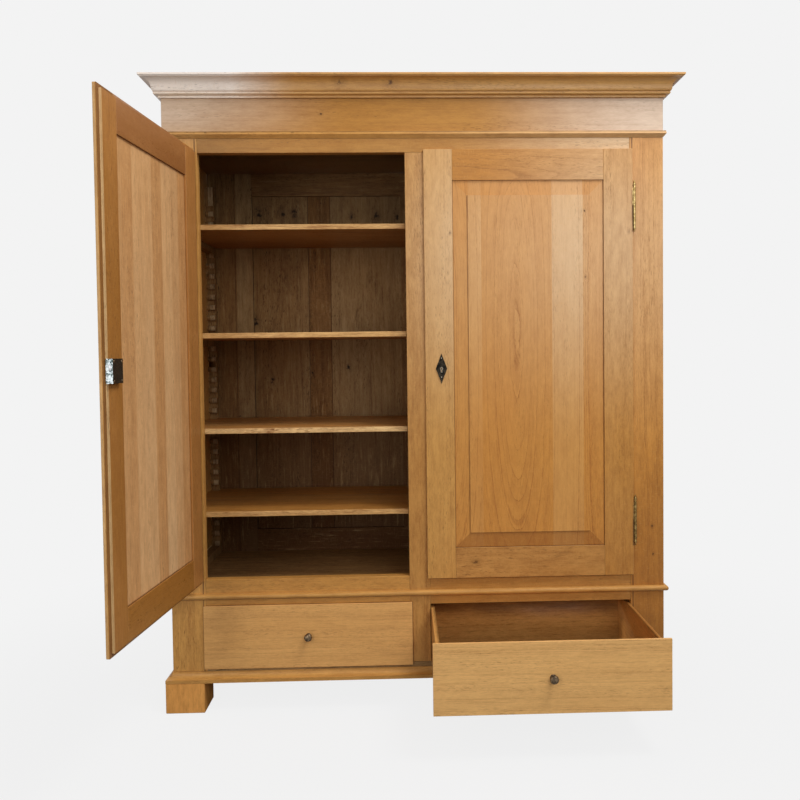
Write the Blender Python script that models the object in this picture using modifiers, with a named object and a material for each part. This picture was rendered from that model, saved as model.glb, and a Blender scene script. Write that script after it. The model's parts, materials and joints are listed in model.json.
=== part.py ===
"""Two-door oak wardrobe with two drawers, a moulded cornice and block feet.

Metres, +Z up. The front posts' faces lie at y = 0 in the body's own frame, the back is towards +Y and
the floor is z = 0. At rest the left door stands open and the right drawer is pulled out.
"""

import math

import bmesh
import bpy
from mathutils import Matrix, Vector

# Fits
JOINT_GAP = 0.0003
ARRIS = 0.0010
CUT_OVERRUN = 0.004

# Body
BODY_WIDTH = 1.600
BODY_DEPTH = 0.550
FOOT_HEIGHT = 0.096
FOOT_SIDE = 0.125
FOOT_ARRIS = 0.002
BASE_MOULD_HEIGHT = 0.032
BASE_MOULD_PROUD = 0.0205
BASE_MOULD_FILLET = 0.011
BASE_MOULD_QUIRK = 0.002
BASE_MOULD_INSIDE = 0.045
BASE_BOARD_THICK = 0.016
DRAWER_OPENING_HEIGHT = 0.189
WAIST_RAIL_HEIGHT = 0.093
DOOR_OPENING_HEIGHT = 1.363
TOP_RAIL_HEIGHT = 0.0455
TOP_BOARD_THICK = 0.0205
TOP_BOARD_PROUD = 0.0095
TOP_BOARD_SET_BACK = 0.0020
TOP_BOARD_SLOPE = 0.0112
POST_WIDTH = 0.1094
POST_THICK = 0.033
CENTRE_POST_WIDTH = 0.067
SIDE_THICK = 0.022
SIDE_FIELD_MARGIN = 0.095
SIDE_FIELD_DEPTH = 0.006
FLOOR_DROP = 0.030
FLOOR_THICK = 0.018
PARTITION_THICK = 0.024
DIVIDER_FOOT_HEIGHT = 0.028
GUIDE_WIDTH = 0.020
GUIDE_HEIGHT = 0.025
GUIDE_END_ROOM = 0.004

# Back
BACK_THICK = 0.025
BACK_STILE = 0.167
BACK_MUNTIN = 0.098
BACK_TOP_RAIL = 0.0855
BACK_WINDOW_RISE = 0.083
BACK_PANEL_THICK = 0.012
BACK_PANEL_LAP = 0.010

# Belt, frieze and cornice
BELT_RISE = 0.029
BELT_HEIGHT = 0.018
BELT_PROUD = 0.0125
BELT_STRAIGHT = 0.004
FRIEZE_HEIGHT = 0.1050
FRIEZE_THICK = 0.022
CORNICE_HEIGHT = 0.0640
CORNICE_PROUD = 0.056
CORNICE_TOP_FILLET = 0.0056
CORNICE_FOOT_FILLET = (0.0070, 0.0050)
CORNICE_SMALL_COVE = (0.0150, 0.0078)
CORNICE_BEAD = (0.0195, 0.0140)
CORNICE_BEAD_QUIRK = (0.0172, 0.0160)
CORNICE_SWELLING = (0.0235, 0.0285)
CORNICE_LARGE_COVE = (0.0500, 0.0550)
CORNICE_QUIRK = 0.0525
CURVE_STEPS = 6

# Doors
DOOR_OVERLAY = 0.008
DOOR_PROUD = 0.010
DOOR_INSET = 0.008
DOOR_CLEARANCE = 0.003
LOCK_STILE = 0.0920
HINGE_STILE = 0.0950
DOOR_TOP_RAIL = 0.0990
DOOR_BOTTOM_RAIL = 0.0990
PANEL_GROOVE = 0.010
PANEL_TONGUE = 0.006
PANEL_TONGUE_FRONT = -0.0045
PANEL_BEVEL = 0.047
PANEL_RAISE = 0.0022
PANEL_STEP = 0.0030
PANEL_STEP_WIDTH = 0.0010
LEFT_DOOR_OPEN_DEG = 95.5

# Hinges
HINGE_EDGE_ROOM = 0.0059
HINGE_PROUD = 0.007
UPPER_HINGE_RISE = 1.1967
LOWER_HINGE_RISE = 0.1790
BARREL_RADIUS = 0.0045
BARREL_HALF = 0.060
PIN_RADIUS = 0.0030
PIN_LENGTH = 0.050
PIN_PLAY = 0.0001
BORE_LENGTH = 0.052
FINIAL = (
    (0.0036, 0.0010),
    (0.0030, 0.0035),
    (0.0042, 0.0065),
    (0.0046, 0.0095),
    (0.0042, 0.0125),
    (0.0030, 0.0150),
    (0.0021, 0.0180),
    (0.0018, 0.0205),
)
FINIAL_LENGTH = 0.0235
LEAF_THICK = 0.0024
LEAF_END_MARGIN = 0.003
POST_LEAF_DEPTH = 0.020
DOOR_LEAF_REACH = 0.031
BARREL_STEPS = 16

# Locks
LOCK_RISE = 0.6955
LOCK_HEIGHT = 0.060
LOCK_WIDTH = 0.056
LOCK_PROUD = 0.0125
SELVEDGE_THICK = 0.0015
SELVEDGE_EDGE_Y = 0.0030
BOLT_RISE = 0.0085
BOLT_HEIGHT = 0.014
BOLT_THICK = 0.006
BOLT_LENGTH = 0.038
BOLT_BACKSET = 0.0004
BOLT_THROW = 0.010
BOLT_WALL = 0.0022
BOLT_TAIL_ROOM = 0.002
MORTISE_PLAY = 0.001
KEYHOLE_INSET = 0.0517
KEYHOLE_FALL = 0.0155
KEYHOLE_RADIUS = 0.0031
KEYHOLE_SLOT_WIDTH = 0.0030
KEYHOLE_DROP = 0.0110
KEY_BORE_RADIUS = 0.0060
ESCUTCHEON_WIDTH = 0.036
ESCUTCHEON_HEIGHT = 0.096
ESCUTCHEON_THICK = 0.002

# Drawers
DRAWER_OVERLAY = 0.008
DRAWER_PROUD = 0.008
DRAWER_FRONT_INSET = 0.012
DRAWER_CLEARANCE = 0.002
DRAWER_BACK_ROOM = 0.011
DRAWER_HEAD_ROOM = 0.013
DRAWER_SIDE_THICK = 0.012
DRAWER_BACK_DROP = 0.020
DRAWER_BOTTOM_THICK = 0.008
DRAWER_BOTTOM_RAISE = 0.012
DRAWER_BOTTOM_LAP = 0.005
RIGHT_DRAWER_OUT = 0.396
KNOB_LENGTH = 0.024
KNOB_PROFILE = (
    (0.0065, 0.0236),
    (0.0108, 0.0216),
    (0.0128, 0.0180),
    (0.0124, 0.0150),
    (0.0094, 0.0120),
    (0.0058, 0.0096),
    (0.0050, 0.0062),
    (0.0064, 0.0032),
    (0.0096, 0.0018),
    (0.0096, 0.0),
)
KNOB_STEPS = 24

# Shelves and their racks
SHELF_THICK = 0.017
SHELF_FRONT = 0.036
SHELF_BACK_ROOM = 0.003
SHELF_END_ROOM = 0.001
LOWEST_SHELF_RISE = 0.22575
SHELF_STEPS = (0, 7, 15, 24)
RACK_PITCH = 0.03875
RACK_NOTCH_HEIGHT = 0.021
RACK_NOTCH_DEPTH = 0.016
RACK_STRIP_WIDTH = 0.040
RACK_OUTER_THICK = 0.030
RACK_INNER_THICK = 0.021
RACK_HEAD_ROOM = 0.0585
RACK_PLAIN_TOP = 0.069
RACK_RAIL_HEIGHT = 0.032

# Hanging rail
RAIL_DROP = 0.1345
RAIL_Y = 0.280
RAIL_RADIUS = 0.0125
RAIL_SOCKET = 0.008
RAIL_END_ROOM = 0.0005
RAIL_STEPS = 20

# Finishes: colour, roughness, metallic
OAK = ((0.520, 0.300, 0.110), 0.42, 0.0)
PALE_OAK = ((0.560, 0.345, 0.145), 0.42, 0.0)
WARM_OAK = ((0.470, 0.240, 0.080), 0.42, 0.0)
SHADED_OAK = ((0.330, 0.185, 0.075), 0.55, 0.0)
BRASS = ((0.470, 0.330, 0.130), 0.38, 1.0)
BRONZE = ((0.060, 0.045, 0.030), 0.40, 1.0)
IRON = ((0.060, 0.060, 0.062), 0.50, 1.0)
STEEL = ((0.600, 0.600, 0.610), 0.35, 1.0)

# Levels and faces that follow from the sizes above
HALF_WIDTH = BODY_WIDTH / 2
BASE_TOP = FOOT_HEIGHT + BASE_MOULD_HEIGHT
DRAWER_SILL = BASE_TOP + BASE_BOARD_THICK
WAIST_BOTTOM = DRAWER_SILL + DRAWER_OPENING_HEIGHT
WAIST_TOP = WAIST_BOTTOM + WAIST_RAIL_HEIGHT
DOOR_HEAD = WAIST_TOP + DOOR_OPENING_HEIGHT
CARCASS_TOP = DOOR_HEAD + TOP_RAIL_HEIGHT
FRIEZE_BOTTOM = CARCASS_TOP + TOP_BOARD_THICK
CORNICE_BOTTOM = FRIEZE_BOTTOM + FRIEZE_HEIGHT
OPENING_OUTER = HALF_WIDTH - POST_WIDTH
OPENING_INNER = CENTRE_POST_WIDTH / 2
SIDE_INNER = HALF_WIDTH - SIDE_THICK
BACK_INNER = BODY_DEPTH - BACK_THICK
HALF_PARTITION = PARTITION_THICK / 2
DOOR_FREE_X = OPENING_INNER - DOOR_OVERLAY
DOOR_HINGE_EDGE = OPENING_OUTER + DOOR_OVERLAY
DOOR_BOTTOM = WAIST_TOP - DOOR_OVERLAY
DOOR_TOP = DOOR_HEAD + DOOR_OVERLAY
HINGE_X = DOOR_HINGE_EDGE + HINGE_EDGE_ROOM
HINGE_HEIGHTS = {"upper": DOOR_BOTTOM + UPPER_HINGE_RISE, "lower": DOOR_BOTTOM + LOWER_HINGE_RISE}
LOCK_Z = DOOR_BOTTOM + LOCK_RISE
BOLT_Z = LOCK_Z + BOLT_RISE
KEYHOLE_X = DOOR_FREE_X + KEYHOLE_INSET
KEYHOLE_Z = LOCK_Z - KEYHOLE_FALL
FLOOR_TOP = WAIST_TOP - FLOOR_DROP
BELT_BOTTOM = WAIST_BOTTOM + BELT_RISE
BACK_WINDOW_BOTTOM = FLOOR_TOP + BACK_WINDOW_RISE
DRAWER_SIDE_TOP = WAIST_BOTTOM - DRAWER_HEAD_ROOM
KNOB_Z = (DRAWER_SILL + WAIST_BOTTOM) / 2
LOWEST_SHELF = FLOOR_TOP + LOWEST_SHELF_RISE
RACK_TOP = CARCASS_TOP - RACK_HEAD_ROOM
RACK_RAIL_TOP = FLOOR_TOP + RACK_RAIL_HEIGHT
RAIL_Z = CARCASS_TOP - RAIL_DROP
SHELF_LEVELS = [LOWEST_SHELF + step * RACK_PITCH for step in SHELF_STEPS]
LEFT_DOOR_OPEN = math.radians(LEFT_DOOR_OPEN_DEG)

# The body is set back so that the outline at rest, open door included, is centred on the origin.
DOOR_REACH = HINGE_PROUD + (HINGE_X - DOOR_FREE_X) * math.sin(LEFT_DOOR_OPEN)
BODY_SHIFT = (DOOR_REACH - BODY_DEPTH) / 2

PLANE_TURNS = {
    "XY": Matrix.Identity(3),
    "XZ": Matrix(((1, 0, 0), (0, 0, -1), (0, 1, 0))),
    "YZ": Matrix(((0, 0, 1), (1, 0, 0), (0, 1, 0))),
}
PLANE_SIGNS = {"XY": 1, "XZ": -1, "YZ": 1}


def clear_scene():
    for obj in list(bpy.data.objects):
        bpy.data.objects.remove(obj, do_unlink=True)


def new_collection(name):
    collection = bpy.data.collections.new(name)
    bpy.context.scene.collection.children.link(collection)
    return collection


class Frame:
    """An empty that carries pieces. Its origin is where it stands with every door and drawer shut."""

    def __init__(self, name, origin, parent=None, turn=0.0, shift=(0.0, 0.0, 0.0)):
        self.origin = Vector(origin)
        self.empty = bpy.data.objects.new(name, None)
        PARTS.objects.link(self.empty)
        self.empty.location = self.origin + Vector(shift)
        if parent:
            self.empty.parent = parent.empty
            self.empty.location -= parent.origin
        self.empty.rotation_euler[2] = turn

    def hold(self, obj, point):
        obj.parent = self.empty
        obj.location = Vector(point) - self.origin


def finish_of(name, finish):
    colour, roughness, metallic = finish
    material = bpy.data.materials.new(name + "_finish")
    material.use_nodes = True
    shader = material.node_tree.nodes["Principled BSDF"]
    shader.inputs["Base Color"].default_value = (*colour, 1.0)
    shader.inputs["Roughness"].default_value = roughness
    shader.inputs["Metallic"].default_value = metallic
    return material


def mesh_from(bm, name):
    bmesh.ops.recalc_face_normals(bm, faces=bm.faces)
    mesh = bpy.data.meshes.new(name)
    bm.to_mesh(mesh)
    bm.free()
    return mesh


def add_object(name, mesh, frame, point, finish):
    """A part when it has a finish, and otherwise a cutter."""
    obj = bpy.data.objects.new(name, mesh)
    if finish:
        PARTS.objects.link(obj)
        mesh.materials.append(finish_of(name, finish))
    else:
        CUTTERS.objects.link(obj)
        obj.hide_render = True
        obj.display_type = "WIRE"
    frame.hold(obj, point)
    return obj


def soften(obj, width=ARRIS):
    bevel = obj.modifiers.new("arris", "BEVEL")
    bevel.width = width
    bevel.segments = 1
    bevel.limit_method = "ANGLE"
    bevel.angle_limit = math.radians(40)


def boolean(obj, tool, operation="DIFFERENCE"):
    modifier = obj.modifiers.new(tool.name, "BOOLEAN")
    modifier.operation = operation
    modifier.solver = "EXACT"
    modifier.object = tool


def cuboid(size):
    bm = bmesh.new()
    bmesh.ops.create_cube(bm, size=1.0)
    bmesh.ops.scale(bm, vec=size, verts=bm.verts)
    return bm


def ends(*ranges):
    low = Vector([min(pair) for pair in ranges])
    high = Vector([max(pair) for pair in ranges])
    return low, high


def block(name, x, y, z, frame, finish=None):
    """A plain cuboid with its faces exactly where they are named."""
    low, high = ends(x, y, z)
    return add_object(name, mesh_from(cuboid(high - low), name), frame, (low + high) / 2, finish)


def board(name, x, y, z, frame, finish, arris=ARRIS):
    """A cuboid drawn in by half a joint gap on every face, so that neighbours on one plane keep the gap."""
    low, high = ends(x, y, z)
    inset = Vector((1, 1, 1)) * JOINT_GAP / 2
    low, high = low + inset, high - inset
    obj = add_object(name, mesh_from(cuboid(high - low), name), frame, (low + high) / 2, finish)
    soften(obj, arris)
    return obj


def evaluated_mesh(obj):
    bpy.context.view_layer.update()
    graph = bpy.context.evaluated_depsgraph_get()
    mesh = bpy.data.meshes.new_from_object(obj.evaluated_get(graph))
    bpy.data.objects.remove(obj, do_unlink=True)
    bm = bmesh.new()
    bm.from_mesh(mesh)
    bpy.data.meshes.remove(mesh)
    bmesh.ops.remove_doubles(bm, verts=bm.verts, dist=1e-6)
    return bm


def outline(name, loops, plane, span, frame, finish=None):
    """A flat outline, the first loop outside and the others holes, given thickness across its plane."""
    low = [min(point[axis] for point in loops[0]) for axis in (0, 1)]
    high = [max(point[axis] for point in loops[0]) for axis in (0, 1)]
    middle = [(a + b) / 2 for a, b in zip(low, high)]
    curve = bpy.data.curves.new(name, "CURVE")
    curve.dimensions = "2D"
    curve.fill_mode = "BOTH"
    curve.extrude = abs(span[1] - span[0]) / 2
    for loop in loops:
        spline = curve.splines.new("POLY")
        spline.points.add(len(loop) - 1)
        for point, (a, b) in zip(spline.points, loop):
            point.co = (a - middle[0], b - middle[1], 0.0, 1.0)
        spline.use_cyclic_u = True
    drawn = bpy.data.objects.new(name + "_drawn", curve)
    CUTTERS.objects.link(drawn)
    bm = evaluated_mesh(drawn)
    caps = {face for face in bm.faces if len({vert.co.z > 0 for vert in face.verts}) == 1}
    inner = [edge for edge in bm.edges if caps.issuperset(edge.link_faces)]
    bmesh.ops.beautify_fill(bm, faces=list(caps), edges=inner)
    bmesh.ops.dissolve_limit(bm, angle_limit=math.radians(0.5), verts=bm.verts, edges=bm.edges)
    mesh = mesh_from(bm, name)
    turn = PLANE_TURNS[plane]
    across = PLANE_SIGNS[plane] * (span[0] + span[1]) / 2
    obj = add_object(name, mesh, frame, turn @ Vector((*middle, across)), finish)
    obj.rotation_euler = turn.to_euler()
    return obj


def rectangle(a, b, inset=0.0):
    low, high = ends(a, b)
    left, bottom = low[0] + inset, low[1] + inset
    right, top = high[0] - inset, high[1] - inset
    return [(left, bottom), (right, bottom), (right, top), (left, top)]


def turned(name, profile, steps, frame, point, finish, axis="Z"):
    """A turned piece: the profile, listed down its outer side, is swept round an axis."""
    bm = bmesh.new()
    row = [bm.verts.new((radius, 0.0, height)) for radius, height in profile]
    for first, second in zip(row, row[1:]):
        bm.edges.new((first, second))
    mesh = bpy.data.meshes.new(name + "_profile")
    bm.to_mesh(mesh)
    bm.free()
    drawn = bpy.data.objects.new(name + "_drawn", mesh)
    CUTTERS.objects.link(drawn)
    screw = drawn.modifiers.new("turning", "SCREW")
    screw.axis = "Z"
    screw.steps = steps
    screw.render_steps = steps
    screw.use_merge_vertices = True
    screw.merge_threshold = 1e-5
    mesh = mesh_from(evaluated_mesh(drawn), name)
    mesh.polygons.foreach_set("use_smooth", [True] * len(mesh.polygons))
    mesh.set_sharp_from_angle(angle=math.radians(40))
    obj = add_object(name, mesh, frame, point, finish)
    if axis == "-Y":
        obj.rotation_euler[0] = math.radians(90)
    if axis == "X":
        obj.rotation_euler[1] = math.radians(90)
    return obj


def moulding(name, profile, frame, finish):
    """A moulding mitred round the front and both sides. The profile is (projection, height) pairs."""
    corners = []
    for proud, height in profile:
        outer = HALF_WIDTH + proud
        corners.append(
            [
                Vector((-outer, BODY_DEPTH, height)),
                Vector((-outer, -proud, height)),
                Vector((outer, -proud, height)),
                Vector((outer, BODY_DEPTH, height)),
            ]
        )
    bm = bmesh.new()
    face = bm.faces.new([bm.verts.new(stations[0]) for stations in corners])
    for station in (1, 2, 3):
        grown = bmesh.ops.extrude_face_region(bm, geom=[face])["geom"]
        for vert in (item for item in grown if isinstance(item, bmesh.types.BMVert)):
            nearest = min(corners, key=lambda stations: (vert.co - stations[station - 1]).length)
            vert.co = nearest[station]
        if station > 1:
            bmesh.ops.delete(bm, geom=[face], context="FACES_ONLY")
        face = next(item for item in grown if isinstance(item, bmesh.types.BMFace))
    return add_object(name, mesh_from(bm, name), frame, (0.0, 0.0, 0.0), finish)


def cove(start, end):
    """A hollow that leaves its start upwards and reaches its end outwards."""
    turns = [math.pi / 2 * step / CURVE_STEPS for step in range(CURVE_STEPS + 1)]
    out, up = end[0] - start[0], end[1] - start[1]
    return [(start[0] + out * (1 - math.cos(t)), start[1] + up * math.sin(t)) for t in turns]


def ovolo(start, end):
    """A swelling that leaves its start outwards and reaches its end upwards."""
    turns = [math.pi / 2 * step / CURVE_STEPS for step in range(CURVE_STEPS + 1)]
    out, up = end[0] - start[0], end[1] - start[1]
    return [(start[0] + out * math.sin(t), start[1] + up * (1 - math.cos(t))) for t in turns]


def build_base():
    for side, hand in SIDES:
        foot_x = (side * (HALF_WIDTH + BASE_MOULD_PROUD), side * (HALF_WIDTH + BASE_MOULD_PROUD - FOOT_SIDE))
        foot_z = (-JOINT_GAP / 2, FOOT_HEIGHT)
        front_y = (-BASE_MOULD_PROUD, FOOT_SIDE - BASE_MOULD_PROUD)
        back_y = (BODY_DEPTH - FOOT_SIDE, BODY_DEPTH)
        board("foot_front_" + hand, foot_x, front_y, foot_z, BODY, WARM_OAK, FOOT_ARRIS)
        board("foot_back_" + hand, foot_x, back_y, foot_z, BODY, WARM_OAK, FOOT_ARRIS)

    bottom = FOOT_HEIGHT + JOINT_GAP / 2
    top = BASE_TOP - JOINT_GAP / 2
    shoulder = FOOT_HEIGHT + BASE_MOULD_FILLET
    splay_top = top - BASE_MOULD_QUIRK
    profile = [
        (-BASE_MOULD_INSIDE, bottom),
        (BASE_MOULD_PROUD, bottom),
        (BASE_MOULD_PROUD, shoulder),
        (BASE_MOULD_PROUD - BASE_MOULD_QUIRK, shoulder),
    ]
    splay = cove((BASE_MOULD_QUIRK, splay_top), (BASE_MOULD_PROUD - BASE_MOULD_QUIRK, shoulder))
    profile += list(reversed(splay))[1:]
    profile += [(BASE_MOULD_QUIRK, top), (-BASE_MOULD_INSIDE, top)]
    moulding("base_moulding", profile, BODY, WARM_OAK)

    inset = JOINT_GAP / 2
    tongue, wide = OPENING_OUTER - inset, SIDE_INNER - inset
    shoulder_y, back_y = POST_THICK + inset, BACK_INNER - inset
    plan = [
        (-tongue, 0.0),
        (tongue, 0.0),
        (tongue, shoulder_y),
        (wide, shoulder_y),
        (wide, back_y),
        (-wide, back_y),
        (-wide, shoulder_y),
        (-tongue, shoulder_y),
    ]
    thickness = (BASE_TOP + inset, DRAWER_SILL - inset)
    base = outline("base_board", [plan], "XY", thickness, BODY, WARM_OAK)
    divider_y = (shoulder_y, back_y)
    guide_y = (shoulder_y + GUIDE_END_ROOM, back_y - GUIDE_END_ROOM)
    guide_z = (BASE_TOP + BASE_BOARD_THICK / 2, DRAWER_SILL + GUIDE_HEIGHT)
    for side, hand in SIDES:
        guide_x = (side * (OPENING_OUTER + JOINT_GAP), side * (OPENING_OUTER + GUIDE_WIDTH))
        guide = block("drawer_guide_" + hand, guide_x, guide_y, guide_z, BODY)
        boolean(base, guide, "UNION")

    half_web, half_foot = HALF_PARTITION, OPENING_INNER
    low, foot_top = DRAWER_SILL + inset, DRAWER_SILL + DIVIDER_FOOT_HEIGHT
    high = FLOOR_TOP - FLOOR_THICK - inset
    section = [
        (-half_foot, low),
        (half_foot, low),
        (half_foot, foot_top),
        (half_web, foot_top),
        (half_web, high),
        (-half_web, high),
        (-half_web, foot_top),
        (-half_foot, foot_top),
    ]
    outline("drawer_divider", [section], "XZ", divider_y, BODY, SHADED_OAK)


def build_carcass():
    post_y = (0.0, POST_THICK)
    inside_y = (POST_THICK, BACK_INNER)
    upright_z = (BASE_TOP, CARCASS_TOP)

    for side, hand in SIDES:
        post = board("front_post_" + hand, (side * OPENING_OUTER, side * HALF_WIDTH), post_y, upright_z, BODY, OAK)
        for level, z in HINGE_HEIGHTS.items():
            slot_half = LEAF_THICK / 2 + JOINT_GAP
            slot_x = (side * HINGE_X - slot_half, side * HINGE_X + slot_half)
            slot_y = (-CUT_OVERRUN, POST_LEAF_DEPTH + JOINT_GAP)
            slot_z = (z - BARREL_HALF + LEAF_END_MARGIN - JOINT_GAP, z - LEAF_END_MARGIN + JOINT_GAP)
            boolean(post, block(f"{hand}_{level}_post_slot", slot_x, slot_y, slot_z, BODY))

        panel_x = (side * SIDE_INNER, side * HALF_WIDTH)
        panel = board("side_" + hand, panel_x, (POST_THICK, BODY_DEPTH), upright_z, BODY, OAK)
        field_x = (side * (HALF_WIDTH - SIDE_FIELD_DEPTH), side * (HALF_WIDTH + CUT_OVERRUN))
        field_y = (POST_THICK + SIDE_FIELD_MARGIN, BODY_DEPTH - SIDE_FIELD_MARGIN)
        lower_z = (BASE_TOP + SIDE_FIELD_MARGIN / 2, BELT_BOTTOM - SIDE_FIELD_MARGIN / 2)
        upper_z = (BELT_BOTTOM + BELT_HEIGHT + SIDE_FIELD_MARGIN, CARCASS_TOP - SIDE_FIELD_MARGIN)
        for level, field_z in (("lower", lower_z), ("upper", upper_z)):
            boolean(panel, block(f"{level}_side_field_{hand}", field_x, field_y, field_z, BODY))
        if side > 0:
            boolean(panel, SOCKET)

    lap_y = POST_THICK / 2
    waist_z = (WAIST_BOTTOM, WAIST_TOP)
    half_lap = (-OPENING_INNER - JOINT_GAP / 2, OPENING_INNER + JOINT_GAP / 2)
    waist = board("waist_rail", (-OPENING_OUTER, OPENING_OUTER), post_y, waist_z, BODY, OAK)
    lap_z = (WAIST_BOTTOM - CUT_OVERRUN, WAIST_TOP + CUT_OVERRUN)
    boolean(waist, block("waist_lap", half_lap, (-CUT_OVERRUN, lap_y + JOINT_GAP / 2), lap_z, BODY))
    board("top_rail", (-OPENING_OUTER, OPENING_OUTER), post_y, (DOOR_HEAD, CARCASS_TOP), BODY, OAK)

    centre = board("centre_post", (-OPENING_INNER, OPENING_INNER), post_y, (DRAWER_SILL, DOOR_HEAD), BODY, OAK)
    lap_x = (-OPENING_INNER - CUT_OVERRUN, OPENING_INNER + CUT_OVERRUN)
    lap_z = (WAIST_BOTTOM - JOINT_GAP / 2, WAIST_TOP + JOINT_GAP / 2)
    boolean(centre, block("centre_lap", lap_x, (lap_y - JOINT_GAP / 2, POST_THICK + CUT_OVERRUN), lap_z, BODY))
    bolt_y, bolt_z = bolt_section(MORTISE_PLAY)
    for side, hand in SIDES:
        mortise_x = (side * (OPENING_INNER + CUT_OVERRUN), side * (OPENING_INNER - BOLT_THROW - MORTISE_PLAY))
        boolean(centre, block("bolt_mortise_" + hand, mortise_x, bolt_y, bolt_z, BODY))

    floor_z = (FLOOR_TOP - FLOOR_THICK, FLOOR_TOP)
    board("floor_board", (-SIDE_INNER, SIDE_INNER), inside_y, floor_z, BODY, SHADED_OAK)
    partition_x = (-HALF_PARTITION, HALF_PARTITION)
    partition = board("partition", partition_x, inside_y, (FLOOR_TOP, CARCASS_TOP), BODY, SHADED_OAK)
    boolean(partition, SOCKET)


def build_back():
    inset = JOINT_GAP / 2
    window_x = (BACK_MUNTIN / 2, SIDE_INNER - BACK_STILE)
    window_z = (BACK_WINDOW_BOTTOM, CARCASS_TOP - BACK_TOP_RAIL)
    lap_x = (window_x[0] - BACK_PANEL_LAP, window_x[1] + BACK_PANEL_LAP)
    lap_z = (window_z[0] - BACK_PANEL_LAP, window_z[1] + BACK_PANEL_LAP)
    seat_y = BODY_DEPTH - BACK_PANEL_THICK
    through_y = (BACK_INNER - CUT_OVERRUN, BODY_DEPTH + CUT_OVERRUN)
    rebate_y = (seat_y - inset, BODY_DEPTH + CUT_OVERRUN)
    rebate_z = (lap_z[0] - inset, lap_z[1] + inset)
    thick_y = (BACK_INNER, BODY_DEPTH)
    frame = board("back_frame", (-SIDE_INNER, SIDE_INNER), thick_y, (BASE_TOP, CARCASS_TOP), BODY, SHADED_OAK)
    for side, hand in SIDES:
        hole_x = (side * window_x[0], side * window_x[1])
        boolean(frame, block("back_window_" + hand, hole_x, through_y, window_z, BODY))
        rebate_x = (side * (lap_x[0] - inset), side * (lap_x[1] + inset))
        boolean(frame, block("back_rebate_" + hand, rebate_x, rebate_y, rebate_z, BODY))
        panel_x = (side * lap_x[0], side * lap_x[1])
        board("back_panel_" + hand, panel_x, (seat_y, BODY_DEPTH), lap_z, BODY, SHADED_OAK)


def build_crown():
    inset = JOINT_GAP / 2
    levels = [
        (CARCASS_TOP + inset, 0.0),
        (CARCASS_TOP + TOP_BOARD_SLOPE, TOP_BOARD_PROUD),
        (FRIEZE_BOTTOM - inset, TOP_BOARD_PROUD - TOP_BOARD_SET_BACK),
    ]
    bm = bmesh.new()
    for height, proud in levels:
        for x, y in rectangle((-HALF_WIDTH - proud, HALF_WIDTH + proud), (-proud, BODY_DEPTH)):
            bm.verts.new((x, y, height))
    bmesh.ops.convex_hull(bm, input=bm.verts)
    add_object("top_board", mesh_from(bm, "top_board"), BODY, (0.0, 0.0, 0.0), OAK)

    outer = rectangle((-HALF_WIDTH, HALF_WIDTH), (0.0, BODY_DEPTH))
    inner = rectangle((-HALF_WIDTH, HALF_WIDTH), (0.0, BODY_DEPTH), FRIEZE_THICK)
    height = (FRIEZE_BOTTOM + inset, CORNICE_BOTTOM - inset)
    soften(outline("frieze", [outer, inner], "XY", height, BODY, PALE_OAK))

    def at(pair):
        return (pair[0], CORNICE_BOTTOM + pair[1])

    bottom = CORNICE_BOTTOM + inset
    top = CORNICE_BOTTOM + CORNICE_HEIGHT
    bead_foot = at(CORNICE_SMALL_COVE)
    bead_top = at(CORNICE_BEAD)
    quirk = at(CORNICE_BEAD_QUIRK)
    swelling_top = at(CORNICE_SWELLING)
    cove_top = at(CORNICE_LARGE_COVE)
    profile = [(-FRIEZE_THICK, bottom), (CORNICE_FOOT_FILLET[0], bottom)]
    profile += cove(at(CORNICE_FOOT_FILLET), bead_foot)
    profile += ovolo(bead_foot, bead_top)[1:]
    profile += [(quirk[0], bead_top[1])]
    profile += ovolo(quirk, swelling_top)
    profile += cove(swelling_top, cove_top)[1:]
    profile += [
        (CORNICE_QUIRK, cove_top[1]),
        (CORNICE_QUIRK, top - CORNICE_TOP_FILLET),
        (CORNICE_PROUD, top - CORNICE_TOP_FILLET),
        (CORNICE_PROUD, top),
        (-FRIEZE_THICK, top),
    ]
    moulding("cornice", profile, BODY, OAK)

    middle = BELT_BOTTOM + BELT_HEIGHT / 2
    belt = [(inset, BELT_BOTTOM), (BELT_STRAIGHT, BELT_BOTTOM)]
    belt += ovolo((BELT_STRAIGHT, BELT_BOTTOM), (BELT_PROUD, middle))[1:]
    upper = ovolo((BELT_STRAIGHT, BELT_BOTTOM + BELT_HEIGHT), (BELT_PROUD, middle))
    belt += list(reversed(upper))[1:]
    belt += [(inset, BELT_BOTTOM + BELT_HEIGHT)]
    moulding("belt_moulding", belt, BODY, OAK)


def bolt_section(play):
    back = DOOR_INSET + BOLT_WALL
    across = (back - play, back + BOLT_THICK + play)
    upright = (BOLT_Z - BOLT_HEIGHT / 2 - play, BOLT_Z + BOLT_HEIGHT / 2 + play)
    return across, upright


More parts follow.
